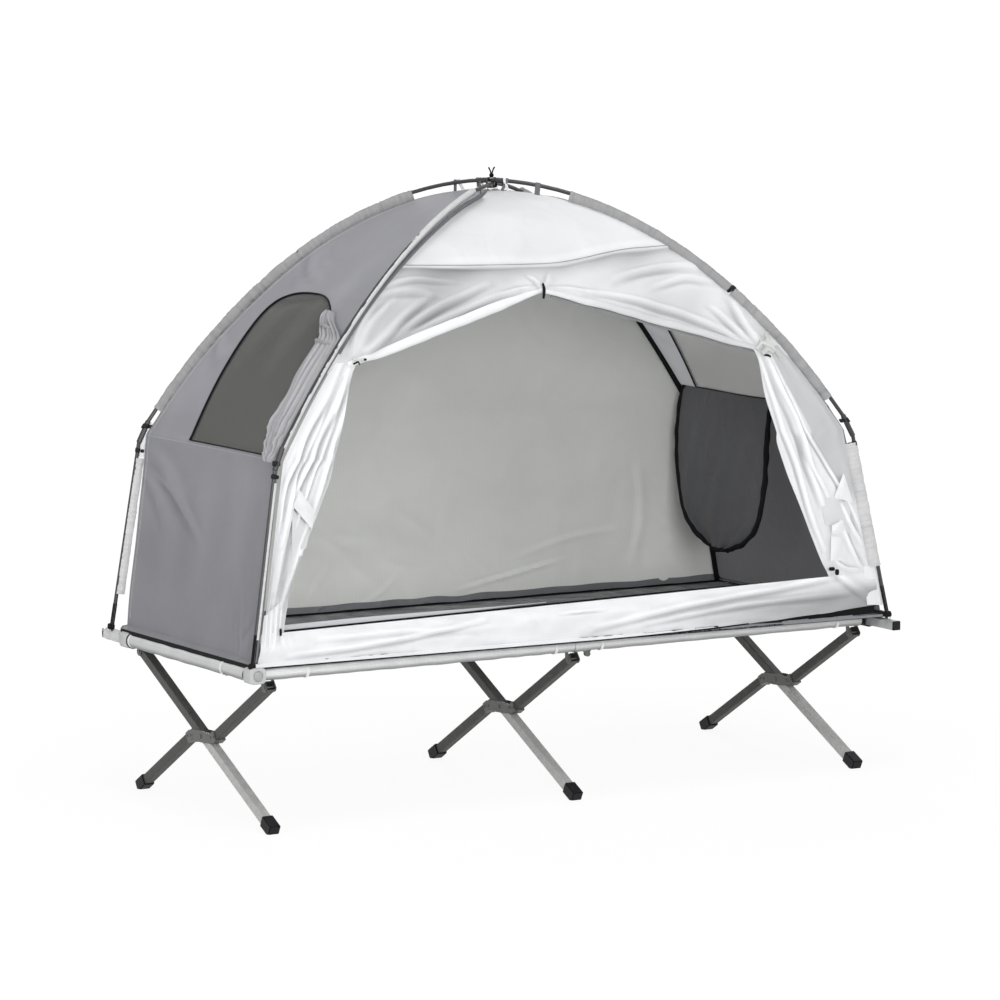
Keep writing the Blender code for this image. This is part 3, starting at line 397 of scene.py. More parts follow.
def to_room(flat, end, side, share):
    """Place points of the pole curve over one corner of the cot."""
    reach, height = flat[..., 0], flat[..., 1]
    length, width = half_sizes(reach, share)
    x = end * length - lean_share * height
    y = side * width - twist_share * end * reach * length_share
    return np.stack([x, y, rail_height + height], -1)


def pole_point(share, end, side, inset=0.0):
    """Points of a pole, moved inwards if asked."""
    return to_room(pole_curve(share) + inward_of(share) * inset, end, side, share)


def cloth_curve(share):
    """The pole curve moved inwards to the cloth, a little more where the poles cross."""
    inset = cloth_inset + cross_depth * rise_of(share) ** 3
    return pole_curve(share) + inward_of(share) * inset[..., None]


def cloth_corner(share, end, side):
    """Where two walls meet; the back left corner is drawn in at its foot."""
    flat = cloth_curve(share)
    points = to_room(flat, end, side, share)
    if end < 0 and side > 0:
        points[..., 1] -= tuck * np.maximum(0, 1 - flat[..., 1] / shoulder_height)
    return points


def share_at(height):
    """Shares along the pole curve at which the cloth corner has these heights."""
    table = np.linspace(-0.05, 1, 2101)
    return np.interp(height, cloth_curve(table)[:, 1], table)


def share_at_width(width):
    """Share along the pole curve at which the tent is twice this wide."""
    table = np.linspace(leg_share, 1, 2001)
    return float(np.interp(-width, -half_sizes(cloth_curve(table)[:, 0], table)[1], table))


def wall(kind, across, share, push=0.0):
    """Points of one wall: ruled between its corners, hollowed in the middle and pushed outwards."""
    across, share, push = [np.array(item, float) for item in np.broadcast_arrays(across, share, push)]
    if kind in ("left", "right"):
        end = -1 if kind == "left" else 1
        first, second, out = cloth_corner(share, end, -1), cloth_corner(share, end, 1), (end, 0)
    else:
        side = -1 if kind == "front" else 1
        first, second, out = cloth_corner(share, -1, side), cloth_corner(share, 1, side), (0, side)
    inward = inward_of(share)
    slope = unit(np.stack([-out[0] * inward[..., 0], -out[1] * inward[..., 0], -inward[..., 1]], -1))
    hollow = front_sag * (1 - across * across) * np.sin(math.pi * share)
    margin = 1 - 2 * corner_margin / np.linalg.norm(second - first, axis=-1)
    blend = ((across * margin + 1) / 2)[..., None]
    return first + (second - first) * blend + slope * (push - hollow)[..., None]


foot_share = float(share_at(panel_foot))
top_share = share_at_width(panel_top_half)


def wall_width(kind, share):
    """Half the width of a wall at a share."""
    length, width = half_sizes(cloth_curve(share)[..., 0], share)
    return width if kind in ("left", "right") else length


# Materials
def linear(code):
    """Linear colour of a colour code."""
    parts = [int(code[i:i + 2], 16) / 255 for i in (0, 2, 4)]
    return [part / 12.92 if part <= 0.04045 else ((part + 0.055) / 1.055) ** 2.4 for part in parts]


def add_node(tree, kind, values=None, **settings):
    """Add a node, set it and link or fill its inputs."""
    node = tree.nodes.new(kind)
    for key, value in settings.items():
        setattr(node, key, value)
    for key, value in (values or {}).items():
        if isinstance(value, bpy.types.NodeSocket):
            tree.links.new(value, node.inputs[key])
        else:
            node.inputs[key].default_value = value
    return node


def math_node(tree, operation, *values):
    """Add a calculation and give its result."""
    return add_node(tree, "ShaderNodeMath", dict(enumerate(values)), operation=operation).outputs[0]


def new_group(name, inputs, outputs):
    """Start a shader group with named sockets."""
    group = bpy.data.node_groups.new(name, "ShaderNodeTree")
    for label, kind, value in inputs:
        socket = group.interface.new_socket(label, in_out="INPUT", socket_type=kind)
        if value is not None:
            socket.default_value = value
    for label in outputs:
        group.interface.new_socket(label, in_out="OUTPUT", socket_type="NodeSocketFloat")
    source = group.nodes.new("NodeGroupInput").outputs
    target = group.nodes.new("NodeGroupOutput").inputs
    return group, source, target


def make_weave_group():
    """Plain weave with heavier threads at even steps."""
    group, source, target = new_group(
        "weave", [("Place", "NodeSocketVector", None), ("Thread", "NodeSocketFloat", 0.0006)],
        ["Height", "Tone"])
    parts = add_node(group, "ShaderNodeSeparateXYZ", {0: source["Place"]})
    rows = []
    lines = []
    for axis in "XY":
        turns = math_node(group, "DIVIDE", parts.outputs[axis], source["Thread"])
        rows.append(math_node(group, "SINE", math_node(group, "MULTIPLY", turns, math.pi)))
        step = math_node(group, "PINGPONG", turns, 6.0)
        lines.append(math_node(group, "LESS_THAN", step, 0.5))
    cross = math_node(group, "MULTIPLY", rows[0], rows[1])
    grid = math_node(group, "MAXIMUM", lines[0], lines[1])
    height = math_node(group, "ADD", cross, math_node(group, "MULTIPLY", grid, 0.7))
    group.links.new(height, target["Height"])
    group.links.new(math_node(group, "MULTIPLY_ADD", grid, -0.06, 1.0), target["Tone"])
    return group


def make_crease_group():
    """Soft wrinkles: ridges of bent noise and finer noise between them."""
    group, source, target = new_group(
        "wrinkles", [("Place", "NodeSocketVector", None), ("Size", "NodeSocketFloat", 0.1)],
        ["Height", "Tone"])
    scale = math_node(group, "DIVIDE", 1.0, source["Size"])
    broad = add_node(group, "ShaderNodeTexNoise",
                     {"Vector": source["Place"], "Scale": scale, "Detail": 2.0, "Distortion": 0.8}).outputs[0]
    ridge = math_node(group, "ABSOLUTE", math_node(group, "SUBTRACT", broad, 0.5))
    ridge = math_node(group, "POWER", math_node(group, "SUBTRACT", 1.0, ridge), 6.0)
    close = math_node(group, "MULTIPLY", scale, 4.0)
    fine = add_node(group, "ShaderNodeTexNoise",
                    {"Vector": source["Place"], "Scale": close, "Detail": 3.0, "Distortion": 0.3}).outputs[0]
    height = math_node(group, "ADD", ridge, math_node(group, "MULTIPLY", fine, 0.35))
    group.links.new(height, target["Height"])
    tone = math_node(group, "MULTIPLY_ADD", broad, 0.14, 0.93)
    group.links.new(tone, target["Tone"])
    return group


def make_wear_group():
    """Scuffs and dust of painted and moulded parts."""
    group, source, target = new_group(
        "wear", [("Place", "NodeSocketVector", None), ("Size", "NodeSocketFloat", 0.02)],
        ["Height", "Tone", "Rough"])
    scale = math_node(group, "DIVIDE", 1.0, source["Size"])
    broad = add_node(group, "ShaderNodeTexNoise",
                     {"Vector": source["Place"], "Scale": scale, "Detail": 4.0}).outputs[0]
    close = math_node(group, "MULTIPLY", scale, 14.0)
    fine = add_node(group, "ShaderNodeTexNoise",
                    {"Vector": source["Place"], "Scale": close, "Detail": 2.0}).outputs[0]
    group.links.new(fine, target["Height"])
    group.links.new(math_node(group, "MULTIPLY_ADD", broad, 0.5, 0.75), target["Tone"])
    group.links.new(math_node(group, "MULTIPLY_ADD", fine, 0.3, -0.15), target["Rough"])
    return group


groups = {"weave": make_weave_group(), "wrinkles": make_crease_group(), "wear": make_wear_group()}


def start_material(name, colour, roughness, metallic):
    """A material with its shader and its surface coordinates."""
    material = bpy.data.materials.new(name)
    material.use_nodes = True
    tree = material.node_tree
    shader = tree.nodes["Principled BSDF"]
    shader.inputs["Base Color"].default_value = (*linear(colour), 1)
    shader.inputs["Roughness"].default_value = roughness
    shader.inputs["Metallic"].default_value = metallic
    place = add_node(tree, "ShaderNodeTexCoord")
    return material, tree, shader, place


def tinted(tree, colour, *factors):
    """Colour multiplied by all given factors."""
    total = factors[0]
    for factor in factors[1:]:
        total = math_node(tree, "MULTIPLY", total, factor)
    mix = add_node(tree, "ShaderNodeVectorMath", {0: linear(colour), 1: (1, 1, 1)}, operation="MULTIPLY")
    spread = add_node(tree, "ShaderNodeCombineXYZ", {0: total, 1: total, 2: total})
    tree.links.new(spread.outputs[0], mix.inputs[1])
    return mix.outputs[0]


def cloth_material(name, colour, roughness=0.6, thread=0.0006, wrinkle=0.09, depth=0.0022, sheen=0.15,
                   weave_depth=0.00008, holes=0.0, through=0.0, specular=0.4):
    """Woven cloth with wrinkles and threads; holes makes it a net, through is a painted glow for light that
    comes through it.
    """
    material, tree, shader, place = start_material(name, colour, roughness, 0.0)
    weave = add_node(tree, "ShaderNodeGroup", node_tree=groups["weave"])
    tree.links.new(place.outputs["UV"], weave.inputs["Place"])
    weave.inputs["Thread"].default_value = thread
    wrinkles = add_node(tree, "ShaderNodeGroup", node_tree=groups["wrinkles"])
    tree.links.new(place.outputs["Object"], wrinkles.inputs["Place"])
    wrinkles.inputs["Size"].default_value = wrinkle
    tone = add_node(tree, "ShaderNodeAttribute", attribute_name="tone").outputs["Fac"]
    base = tinted(tree, colour, tone, weave.outputs["Tone"], wrinkles.outputs["Tone"])
    tree.links.new(base, shader.inputs["Base Color"])
    height = math_node(tree, "ADD", math_node(tree, "MULTIPLY", weave.outputs["Height"], weave_depth),
                       math_node(tree, "MULTIPLY", wrinkles.outputs["Height"], depth))
    bump = add_node(tree, "ShaderNodeBump", {"Height": height, "Distance": 1.0, "Strength": 1.0})
    tree.links.new(bump.outputs[0], shader.inputs["Normal"])
    shader.inputs["Sheen Weight"].default_value = sheen
    shader.inputs["Specular IOR Level"].default_value = specular
    # Painted glow: emission in the cloth's colour at the through strength, for light that comes through the
    # cloth.
    shader.inputs["Emission Color"].default_value = (*linear(colour), 1)
    shader.inputs["Emission Strength"].default_value = through
    if holes:
        parts = add_node(tree, "ShaderNodeSeparateXYZ", {0: place.outputs["UV"]})
        sides = []
        for axis in "XY":
            step = math_node(tree, "FRACT", math_node(tree, "DIVIDE", parts.outputs[axis], thread))
            sides.append(math_node(tree, "GREATER_THAN", step, holes))
        tree.links.new(math_node(tree, "MAXIMUM", *sides), shader.inputs["Alpha"])
    return material


def hard_material(name, colour, roughness, metallic, depth=0.0001, specular=0.5, painted_lit_colour=None,
                  low_height=0.0):
    """Metal, paint or plastic with scuffs and uneven gloss; if asked, a second colour below a height paints
    light on the lower part.
    """
    material, tree, shader, place = start_material(name, colour, roughness, metallic)
    group = add_node(tree, "ShaderNodeGroup", node_tree=groups["wear"])
    tree.links.new(place.outputs["Object"], group.inputs["Place"])
    group.inputs["Size"].default_value = wear_size
    base = tinted(tree, colour, group.outputs["Tone"])
    # Painted light: a second colour below the height.
    if painted_lit_colour:
        height = add_node(tree, "ShaderNodeSeparateXYZ", {0: place.outputs["Object"]}).outputs["Z"]
        limits = {0: height, 1: low_height, 2: low_height + 0.004}
        share = add_node(tree, "ShaderNodeMapRange", limits).outputs[0]
        mix = add_node(tree, "ShaderNodeMix", {0: share}, data_type="RGBA")
        tree.links.new(tinted(tree, painted_lit_colour, group.outputs["Tone"]), mix.inputs[6])
        tree.links.new(base, mix.inputs[7])
        base = mix.outputs[2]
    tree.links.new(base, shader.inputs["Base Color"])
    rough = math_node(tree, "ADD", group.outputs["Rough"], roughness)
    tree.links.new(rough, shader.inputs["Roughness"])
    height = math_node(tree, "MULTIPLY", group.outputs["Height"], depth)
    bump = add_node(tree, "ShaderNodeBump", {"Height": height, "Distance": 1.0, "Strength": 1.0})
    tree.links.new(bump.outputs[0], shader.inputs["Normal"])
    shader.inputs["Specular IOR Level"].default_value = specular
    return material


looks = {
    "white": cloth_material("white_cloth", "eeeff1", 0.55, wrinkle=0.11, depth=0.0011),
    # Lining, dark lining, upper lining and the lighter net glow by their through value: a painted glow for
    # light that comes through the cloth.
    "lining": cloth_material("lining_cloth", "d2d3cf", 0.65, wrinkle=0.14, depth=0.0010, through=0.10),
    "grey": cloth_material("end_cloth", "8d8d93", 0.6, wrinkle=0.14, depth=0.0010),
    "dark": cloth_material("dark_lining", "565658", 0.7, depth=0.0010, through=0.55),
    "medium": cloth_material("upper_lining", "a9abae", 0.7, depth=0.0010, through=0.42),
    "shade": cloth_material("shaded_cloth", "9a9a9d", 0.6, depth=0.0010),
    "cover": cloth_material("window_cover_cloth", "b9b9bd", 0.6, wrinkle=0.04, depth=0.0012),
    "ring": cloth_material("white_ring", "efefee", 0.6, wrinkle=0.02, depth=0.0004),
    "flap": cloth_material("flap_cloth", "57575a", 0.7, depth=0.0014),
    "sleeve": cloth_material("sleeve_cloth", "d6d6d7", 0.6, wrinkle=0.02, depth=0.0012),
    # The shaded copy of the sleeve cloth: painted shade.
    "sleeve_shade": cloth_material("shaded_sleeve_cloth", "9e9e9f", 0.6, wrinkle=0.02, depth=0.0012),
    "floor": cloth_material("floor_cloth", "808185", 0.5, wrinkle=0.10, depth=0.004),
    "net": cloth_material("net_cloth", "4a4a48", 0.8, thread=0.0016, depth=0.0, weave_depth=0.0,
                          holes=0.66),
    # A lighter, glowing copy of the dark net: painted light for the bright background seen through it.
    "painted_light_net": cloth_material("painted_light_net_cloth", "8c8c8a", 0.8, thread=0.0016, depth=0.0, sheen=0.1,
                               weave_depth=0.0, holes=0.68, through=0.17),
    "bed": cloth_material("bed_cloth", "c2c3c3", 0.7, thread=0.0011, wrinkle=0.06, depth=0.0012,
                          weave_depth=0.0002),
    "tape": cloth_material("black_tape", "161618", 0.75, thread=0.0012, wrinkle=0.03, depth=0.0006, sheen=0.0,
                           weave_depth=0.0003, specular=0.15),
    "band": cloth_material("shadow_band", "6f6f74", 0.7, depth=0.0006, sheen=0.0, specular=0.2),
    "edge": cloth_material("rail_cloth", "d8d9d9", 0.7, thread=0.0011, wrinkle=0.05, depth=0.0006,
                           weave_depth=0.0002),
    "cord": cloth_material("white_cord", "e3e3e1", 0.7, thread=0.0009, wrinkle=0.02, depth=0.0008,
                           weave_depth=0.0003),
    "rail": hard_material("rail_metal", "b4b6b6", 0.42, 0.6),
    "leg": hard_material("leg_metal", "4a4a48", 0.55, 0.15, specular=0.25),
    # Long legs: dark above, with painted light in a pale colour below 0.205 m, out of the deck's shade.
    "whole": hard_material("long_leg_metal", "4e4e4c", 0.5, 0.15, specular=0.25, painted_lit_colour="b6b6b5",
                           low_height=0.205),
    "bracket": hard_material("bracket_metal", "646563", 0.45, 0.3, specular=0.3),
    "black": hard_material("black_plastic", "17171a", 0.55, 0.0, depth=0.00015, specular=0.2),
    "pole": hard_material("pole_fibre", "2b2b2d", 0.4, 0.0),
    "steel": hard_material("rivet_steel", "c9c9c9", 0.3, 0.9),
}

# Stage
table = bpy.data.meshes.new("floor")
table.from_pydata([(-90, -90, 0), (90, -90, 0), (90, 90, 0), (-90, 90, 0)], [], [(0, 1, 2, 3)])
ground = bpy.data.objects.new("floor", table)
bpy.context.scene.collection.objects.link(ground)


def ray_share(tree):
    """One for rays of the camera and of mirrors, zero for the rays that carry light."""
    rays = add_node(tree, "ShaderNodeLightPath")
    share = math_node(tree, "MAXIMUM", rays.outputs["Is Camera Ray"], rays.outputs["Is Glossy Ray"])
    return math_node(tree, "MAXIMUM", share, rays.outputs["Is Transmission Ray"])


paper = bpy.data.materials.new("floor")
paper.use_nodes = True
paper_tree = paper.node_tree
paper_shader = paper_tree.nodes["Principled BSDF"]
paper_shader.inputs["Base Color"].default_value = (0.9, 0.9, 0.9, 1)
paper_shader.inputs["Roughness"].default_value = 0.9
glow = add_node(paper_tree, "ShaderNodeEmission", {"Color": (1, 1, 1, 1), "Strength": 1.03})
place = add_node(paper_tree, "ShaderNodeTexCoord").outputs["Object"]
far = add_node(paper_tree, "ShaderNodeVectorMath", {0: place}, operation="LENGTH").outputs["Value"]
far = add_node(paper_tree, "ShaderNodeMapRange", {0: far, 1: 1.2, 2: 2.8, 3: 0.88, 4: 1.0}).outputs[0]
both = add_node(paper_tree, "ShaderNodeMixShader",
                {0: math_node(paper_tree, "MULTIPLY", ray_share(paper_tree), far), 1: paper_shader.outputs[0],
                 2: glow.outputs[0]})
paper_tree.links.new(both.outputs[0], paper_tree.nodes["Material Output"].inputs["Surface"])
table.materials.append(paper)

world = bpy.data.worlds.new("studio")
bpy.context.scene.world = world
world.use_nodes = True
air = world.node_tree.nodes["Background"]
air.inputs["Color"].default_value = (1, 1, 1, 1)
air_light = 0.34
strength = math_node(world.node_tree, "MULTIPLY_ADD", ray_share(world.node_tree), 1.03 - air_light, air_light)
world.node_tree.links.new(strength, air.inputs["Strength"])


def add_lamp(name, place, size, power):
    """Soft square lamp that looks at the middle of the tent."""
    data = bpy.data.lights.new(name, "AREA")
    data.shape = "SQUARE"
    data.size = size
    data.energy = power
    lamp = bpy.data.objects.new(name, data)
    bpy.context.scene.collection.objects.link(lamp)
    lamp.location = place
    lamp.rotation_euler = (Vector(place) - Vector((0, 0, 0.8))).to_track_quat("Z", "Y").to_euler()


add_lamp("key", (-3.0, -8.8, 2.4), 3.0, 310)
add_lamp("right_fill", (5.5, -7.0, 2.6), 3.0, 90)
add_lamp("left_fill", (-9.0, -1.5, 2.6), 2.5, 200)
add_lamp("top", (-0.5, -1.5, 6.5), 3.0, 110)
add_lamp("back", (3.5, 8.5, 3.0), 3.0, 170)

# Camera
azimuth, elevation = math.radians(-31.015), math.radians(6.859)
away = Vector((math.sin(azimuth) * math.cos(elevation), -math.cos(azimuth) * math.cos(elevation),
               math.sin(elevation)))
film_width = 36
lens_share = 4.4425
camera_distance = 12
lens = bpy.data.cameras.new("camera")
lens.sensor_width = film_width
lens.lens = film_width * lens_share
camera = bpy.data.objects.new("camera", lens)
bpy.context.scene.collection.objects.link(camera)
camera.location = Vector((-0.0107, 0, 0.7632)) + away * camera_distance
camera.rotation_euler = away.to_track_quat("Z", "Y").to_euler()
bpy.context.scene.camera = camera
bpy.context.scene.view_settings.view_transform = "Standard"


# Edges of the front of the tent, as shares along the poles
door_middle = -0.032
door_reach = 0.885
door_peak_share = 0.558
door_drop_share = 0.100
roof_seam_share = 0.606
roof_seam_rise_share = 0.024
sill_left_share = 0.190
sill_right_share = 0.262
sill_lift_share = 0.025
seam_back = 0.40
thin_cloth = 0.0012


def door_top(across):
    """Share of the door's upper edge: a peak less a power of the distance from the door's middle."""
    return door_peak_share - door_drop_share * (np.abs(across - door_middle) / door_reach) ** 1.1


def roof_seam(across):
    """Share of the seam between the two front panels, which rises smoothly to the right."""
    return roof_seam_share + roof_seam_rise_share * smooth_step(0.0, 0.75, across)


def sill_top(across):
    """Share of the sill's upper edge, even between two heights that are shares of the shoulder's."""
    left, right = share_at(shoulder_height * sill_left_share), share_at(shoulder_height * sill_right_share)
    return left + (right - left) * (across + 1) / 2


def sill_foot(across):
    """Share of the sill's lower edge, which lifts off by a power of the place towards the right end."""
    return foot_share + sill_lift_share * np.maximum(0, across) ** 1.9


# Each fold has a depth, a width, a darkness of its painted shade and highlight and its points as shares
# across and along the wall
swag_folds = (
    (0.012, 0.012, 0.30, ((-0.700, 0.551), (-0.778, 0.526), (-0.831, 0.496), (-0.880, 0.472))),
    (0.012, 0.012, 0.32, ((-0.380, 0.572), (-0.461, 0.560), (-0.651, 0.529), (-0.765, 0.501),
                          (-0.872, 0.474))),
    (0.010, 0.010, 0.28, ((-0.200, 0.558), (-0.300, 0.550), (-0.534, 0.521), (-0.707, 0.497),
                          (-0.850, 0.473))),
    (0.007, 0.010, 0.16, ((-0.600, 0.583), (-0.864, 0.582), (-0.985, 0.574))),
    (0.006, 0.012, 0.10, ((-0.694, 0.558), (-0.879, 0.562), (-0.985, 0.560))),
    (0.009, 0.012, 0.12, ((-0.935, 0.472), (-0.965, 0.500), (-0.985, 0.535))),
    (0.007, 0.010, 0.12, ((-0.912, 0.470), (-0.930, 0.505), (-0.890, 0.548))),
    (0.010, 0.014, 0.16, ((0.985, 0.586), (0.819, 0.592), (0.606, 0.586), (0.450, 0.575))),
    (0.006, 0.010, 0.12, ((0.985, 0.560), (0.850, 0.566), (0.640, 0.556))),
    (0.010, 0.010, 0.22, ((0.920, 0.458), (0.927, 0.486), (0.975, 0.520))),
    (0.008, 0.009, 0.20, ((0.895, 0.458), (0.870, 0.480), (0.850, 0.515))),
    (0.009, 0.010, 0.26, ((0.880, 0.459), (0.780, 0.485), (0.620, 0.515), (0.420, 0.540), (0.250, 0.552))),
    (0.006, 0.006, 0.18, ((-0.034, 0.560), (-0.045, 0.572), (-0.085, 0.590))),
    (0.005, 0.006, 0.16, ((-0.028, 0.560), (0.010, 0.572), (0.050, 0.592))),
    (0.005, 0.007, 0.14, ((-0.270, 0.552), (-0.160, 0.562), (-0.050, 0.564))),
    (0.004, 0.007, 0.14, ((0.020, 0.562), (0.120, 0.560), (0.260, 0.553))),
)


def canopy_form(across, share):
    """How far the front slope stands out, and its tone: folds and gathers below its seam, a swell above; the
    tone is painted shade and highlight.
    """
    gather_depth = 0.0012
    gather_step = 0.019
    gather_reach = 0.035
    sag_depth = 0.012
    swell_height = 0.004
    x = across * wall_width("front", share)
    y = share * arch_length
    below = (roof_seam(across) - share) * arch_length
    lower = smooth_step(-0.001, 0.004, below)
    push, tone = folds_of("front", across, share, swag_folds)
    gather = np.sin(x / gather_step + 1.5 * np.sin(x / 0.13)) * np.exp(-np.maximum(below, 0) / gather_reach)
    sag = sag_depth * hump(below, 0.028, 0.030) * (1 - across**4)
    under = gather_depth * gather + 0.003 * waves(x, y * 0.6, 0.15, 5) - sag
    over = swell_height * np.exp(-np.maximum(-below, 0) / 0.07) + 0.0015 * waves(x, y, 0.30, 8)
    push = lower * (push + under) + (1 - lower) * over
    # Painted shade: darkest just under the seam and towards both ties; the upper panel is evenly darker at
    # 0.92.
    shade = 0.36 * np.exp(-np.maximum(below, 0) / 0.026) + 0.09
    shade = shade + 0.32 * hump(across, -0.66, 0.30) + 0.13 * hump(across, 0.62, 0.25)
    shade = shade + 0.02 * waves(x, y, 0.12, 9)
    return push, np.where(below > 0, (1 - lower * shade) * (1 + lower * (tone - 1)), 0.92)


def make_canopy():
    """Front slope: rows of points from the door's edge to the seam, and from the seam to the top."""
    across = np.linspace(-1, 1, 241)[None, :]
    low_rows = np.linspace(0, 1, 101)[:, None]
    high_rows = np.linspace(0, 1, 61)[1:, None]
    lower = door_top(across) + (roof_seam(across) - door_top(across)) * low_rows
    upper = roof_seam(across) + (top_share - roof_seam(across)) * high_rows
    share = np.concatenate([lower, upper])
    push, tone = canopy_form(across, share)
    shape = Shape()
    # Painted shade in the hollows of the outside.
    add_sheet(shape, wall("front", across, share, push), outside=-1, inner=1, tone=tone * painted_hollow_shade(push),
              inner_tone=1.0)
    cloths = [looks["white"], looks["lining"]]
    canopy = make_piece("front_canopy_cloth", shape, cloths, "tent",
                        ["front_canopy"])


def make_door_hem():
    """Rolled edge of the door and a strip of painted shade under it: flattened tubes along the door's top."""
    roll_radius = 0.0135
    roll_loss = 0.0035
    shade_strip_radius = 0.0042
    flatness = 0.5
    outwards = (0, 0.2, 1)
    across = np.linspace(-0.93, 0.93, 360)
    share = door_top(across)
    push, _ = canopy_form(across, share)
    away = np.abs(across - door_middle)
    wide = roll_radius - roll_loss * smooth_step(-0.2, 0.3, across)
    wide = wide * (0.45 + 0.55 * smooth_step(0.0, 0.30, away))
    wide = wide * (1 - 0.45 * smooth_step(0.72, 0.93, np.abs(across)))
    crumple = 1 + 0.04 * waves(across[:, None] * 0.9, np.arange(16)[None, :] * 0.005, 0.10, 31)
    shape = Shape()
    # Painted light on the roll: lighter at the left, darker towards the right.
    add_tube(shape, wall("front", across, share, push + 0.003), wide[:, None] * crumple, 16, flatness,
             side=outwards, tone=1.05 - 0.27 * smooth_step(-0.1, 0.4, across))
    # Strip of painted shade in the shaded cloth under the roll.
    low = (across > 0.02) & (across < 0.90)
    path = wall("front", across, share, push - 0.005)[low]
    path = path - np.stack([0, 0, 1])[None] * (wide[low] * 0.9)[:, None]
    add_tube(shape, path, shade_strip_radius, 12, flatness, side=outwards, number=1, tone=0.8)
    make_piece("door_hem", shape, [looks["white"], looks["shade"]], "tent")


make_canopy()
make_door_hem()

# Curtains: their folds as above, and their free edges as shares along and across the wall
left_folds = (
    (0.010, 0.007, 0.34, ((-0.962, 0.458), (-0.950, 0.419), (-0.958, 0.380), (-0.972, 0.328),
                          (-0.985, 0.240))),
    (0.012, 0.008, 0.38, ((-0.914, 0.454), (-0.899, 0.413), (-0.907, 0.377), (-0.928, 0.326),
                          (-0.960, 0.238), (-0.980, 0.133))),
    (0.012, 0.008, 0.34, ((-0.890, 0.452), (-0.853, 0.407), (-0.841, 0.368), (-0.858, 0.306),
                          (-0.880, 0.253))),
    (0.009, 0.006, 0.30, ((-0.905, 0.446), (-0.880, 0.398), (-0.880, 0.350), (-0.905, 0.300),
                          (-0.940, 0.220))),
    (0.007, 0.005, 0.26, ((-0.938, 0.440), (-0.928, 0.398), (-0.935, 0.350), (-0.955, 0.290),
                          (-0.975, 0.210))),
    (0.010, 0.008, 0.28, ((-0.905, 0.200), (-0.932, 0.148), (-0.950, 0.100))),
    (0.010, 0.008, 0.30, ((-0.945, 0.274), (-0.957, 0.203), (-0.975, 0.110))),
    (0.007, 0.006, 0.26, ((-0.890, 0.245), (-0.905, 0.220), (-0.925, 0.170))),
)
right_folds = (
    (0.005, 0.005, 0.40, ((0.985, 0.170), (0.957, 0.223), (0.924, 0.270), (0.866, 0.345), (0.886, 0.410),
                          (0.922, 0.452))),
    (0.012, 0.009, 0.34, ((0.868, 0.220), (0.845, 0.286), (0.826, 0.362), (0.858, 0.410), (0.902, 0.446))),
    (0.009, 0.007, 0.30, ((0.845, 0.135), (0.822, 0.191), (0.796, 0.307), (0.806, 0.394), (0.862, 0.440))),
    (0.008, 0.006, 0.24, ((0.890, 0.235), (0.846, 0.310), (0.838, 0.365), (0.868, 0.415), (0.906, 0.446))),
    (0.010, 0.008, 0.26, ((0.918, 0.186), (0.933, 0.137), (0.962, 0.090))),
    (0.006, 0.005, 0.20, ((0.875, 0.110), (0.905, 0.095), (0.950, 0.088))),
    (0.008, 0.007, 0.26, ((0.935, 0.215), (0.950, 0.180), (0.975, 0.140))),
)
left_edge = ((0.451, -0.899), (0.414, -0.861), (0.365, -0.817), (0.320, -0.830), (0.228, -0.881),
             (0.153, -0.919), (0.085, -0.934))
right_edge = ((0.447, 0.863), (0.399, 0.775), (0.349, 0.735), (0.273, 0.760), (0.197, 0.793),
              (0.104, 0.828), (0.082, 0.845))
shade_edge = ((0.17, 0.99), (0.223, 0.960), (0.270, 0.926), (0.345, 0.868), (0.410, 0.888), (0.458, 0.930))


def curtain_grid(edge_table, outer, table, seed):
    """Curtain from the pole to its free edge: even places between them, pushed out by folds and sines."""
    rows, columns = 170, 90
    seam_gap = 0.0004
    lift = 0.003
    ripple = 0.0012
    blur = 12
    shares = np.linspace(0, 1, rows)[:, None]
    u = np.linspace(0, 1, columns)[None, :]
    edge_shares, edges = np.array(edge_table).T
    order = np.argsort(edge_shares)
    top = door_top(np.array(edge_table[0][1])) - seam_gap
    low = sill_top(np.array(edge_table[-1][1])) + seam_gap
    share = top + (low - top) * shares
    inner = np.interp(share, edge_shares[order], edges[order])
    kernel = hump(np.arange(-blur, blur + 1), 0, blur / 2)
    inner = np.convolve(np.pad(inner[:, 0], blur, mode="edge"), kernel / kernel.sum(), mode="valid")[:, None]
    place = outer + (inner - outer) * u
    push, tone = folds_of("front", place, share, table)
    fade = smooth_step(0, 0.10, u)
    turn = u * 15 + 1.5 * np.sin(u * 5 + seed) + 1.5 * shares
    push = push + ripple * np.sin(turn) * np.sin(math.pi * shares)
    push = push + ripple * waves(u * 0.4, shares * 0.22, 0.09, seed)
    push = push * (1 - 0.6 * np.exp(-(1 - u) * 9))
    edge = np.exp(-(1 - u) * 22)
    return wall("front", place, share, (push + lift) * fade + lift * edge), push * fade, tone, place, share


def make_curtain(name, outer, edge_table, folds, seed):
    """One gathered curtain with painted shade: the right one is darker outside a slanting line, the left one
    at its foot, and both in their hollows.
    """
    grid, push, tone, place, share = curtain_grid(edge_table, outer, folds, seed)
    # Painted shade: the right curtain darker outside the shade edge and a little at its foot, the left one at
    # its foot.
    if name == "right":
        line = np.interp(share, *np.array(shade_edge).T)
        tone = tone * (1 - 0.34 * smooth_step(-0.006, 0.006, place - line) * smooth_step(0.19, 0.26, share))
        tone = tone * (1 - 0.05 * smooth_step(0.30, 0.05, share))
    else:
        tone = tone * (1 - 0.22 * smooth_step(0.34, 0.08, share))
    shape = Shape()
    add_sheet(shape, grid, outside=1 if name == "left" else -1, tone=tone * painted_hollow_shade(push))
    curtain = make_piece("curtain_cloth_" + name, shape, [looks["white"]], "tent",
                         ["curtain_" + name])


make_curtain("left", -0.992, left_edge, left_folds, 3)
make_curtain("right", 0.992, right_edge, right_folds, 12)
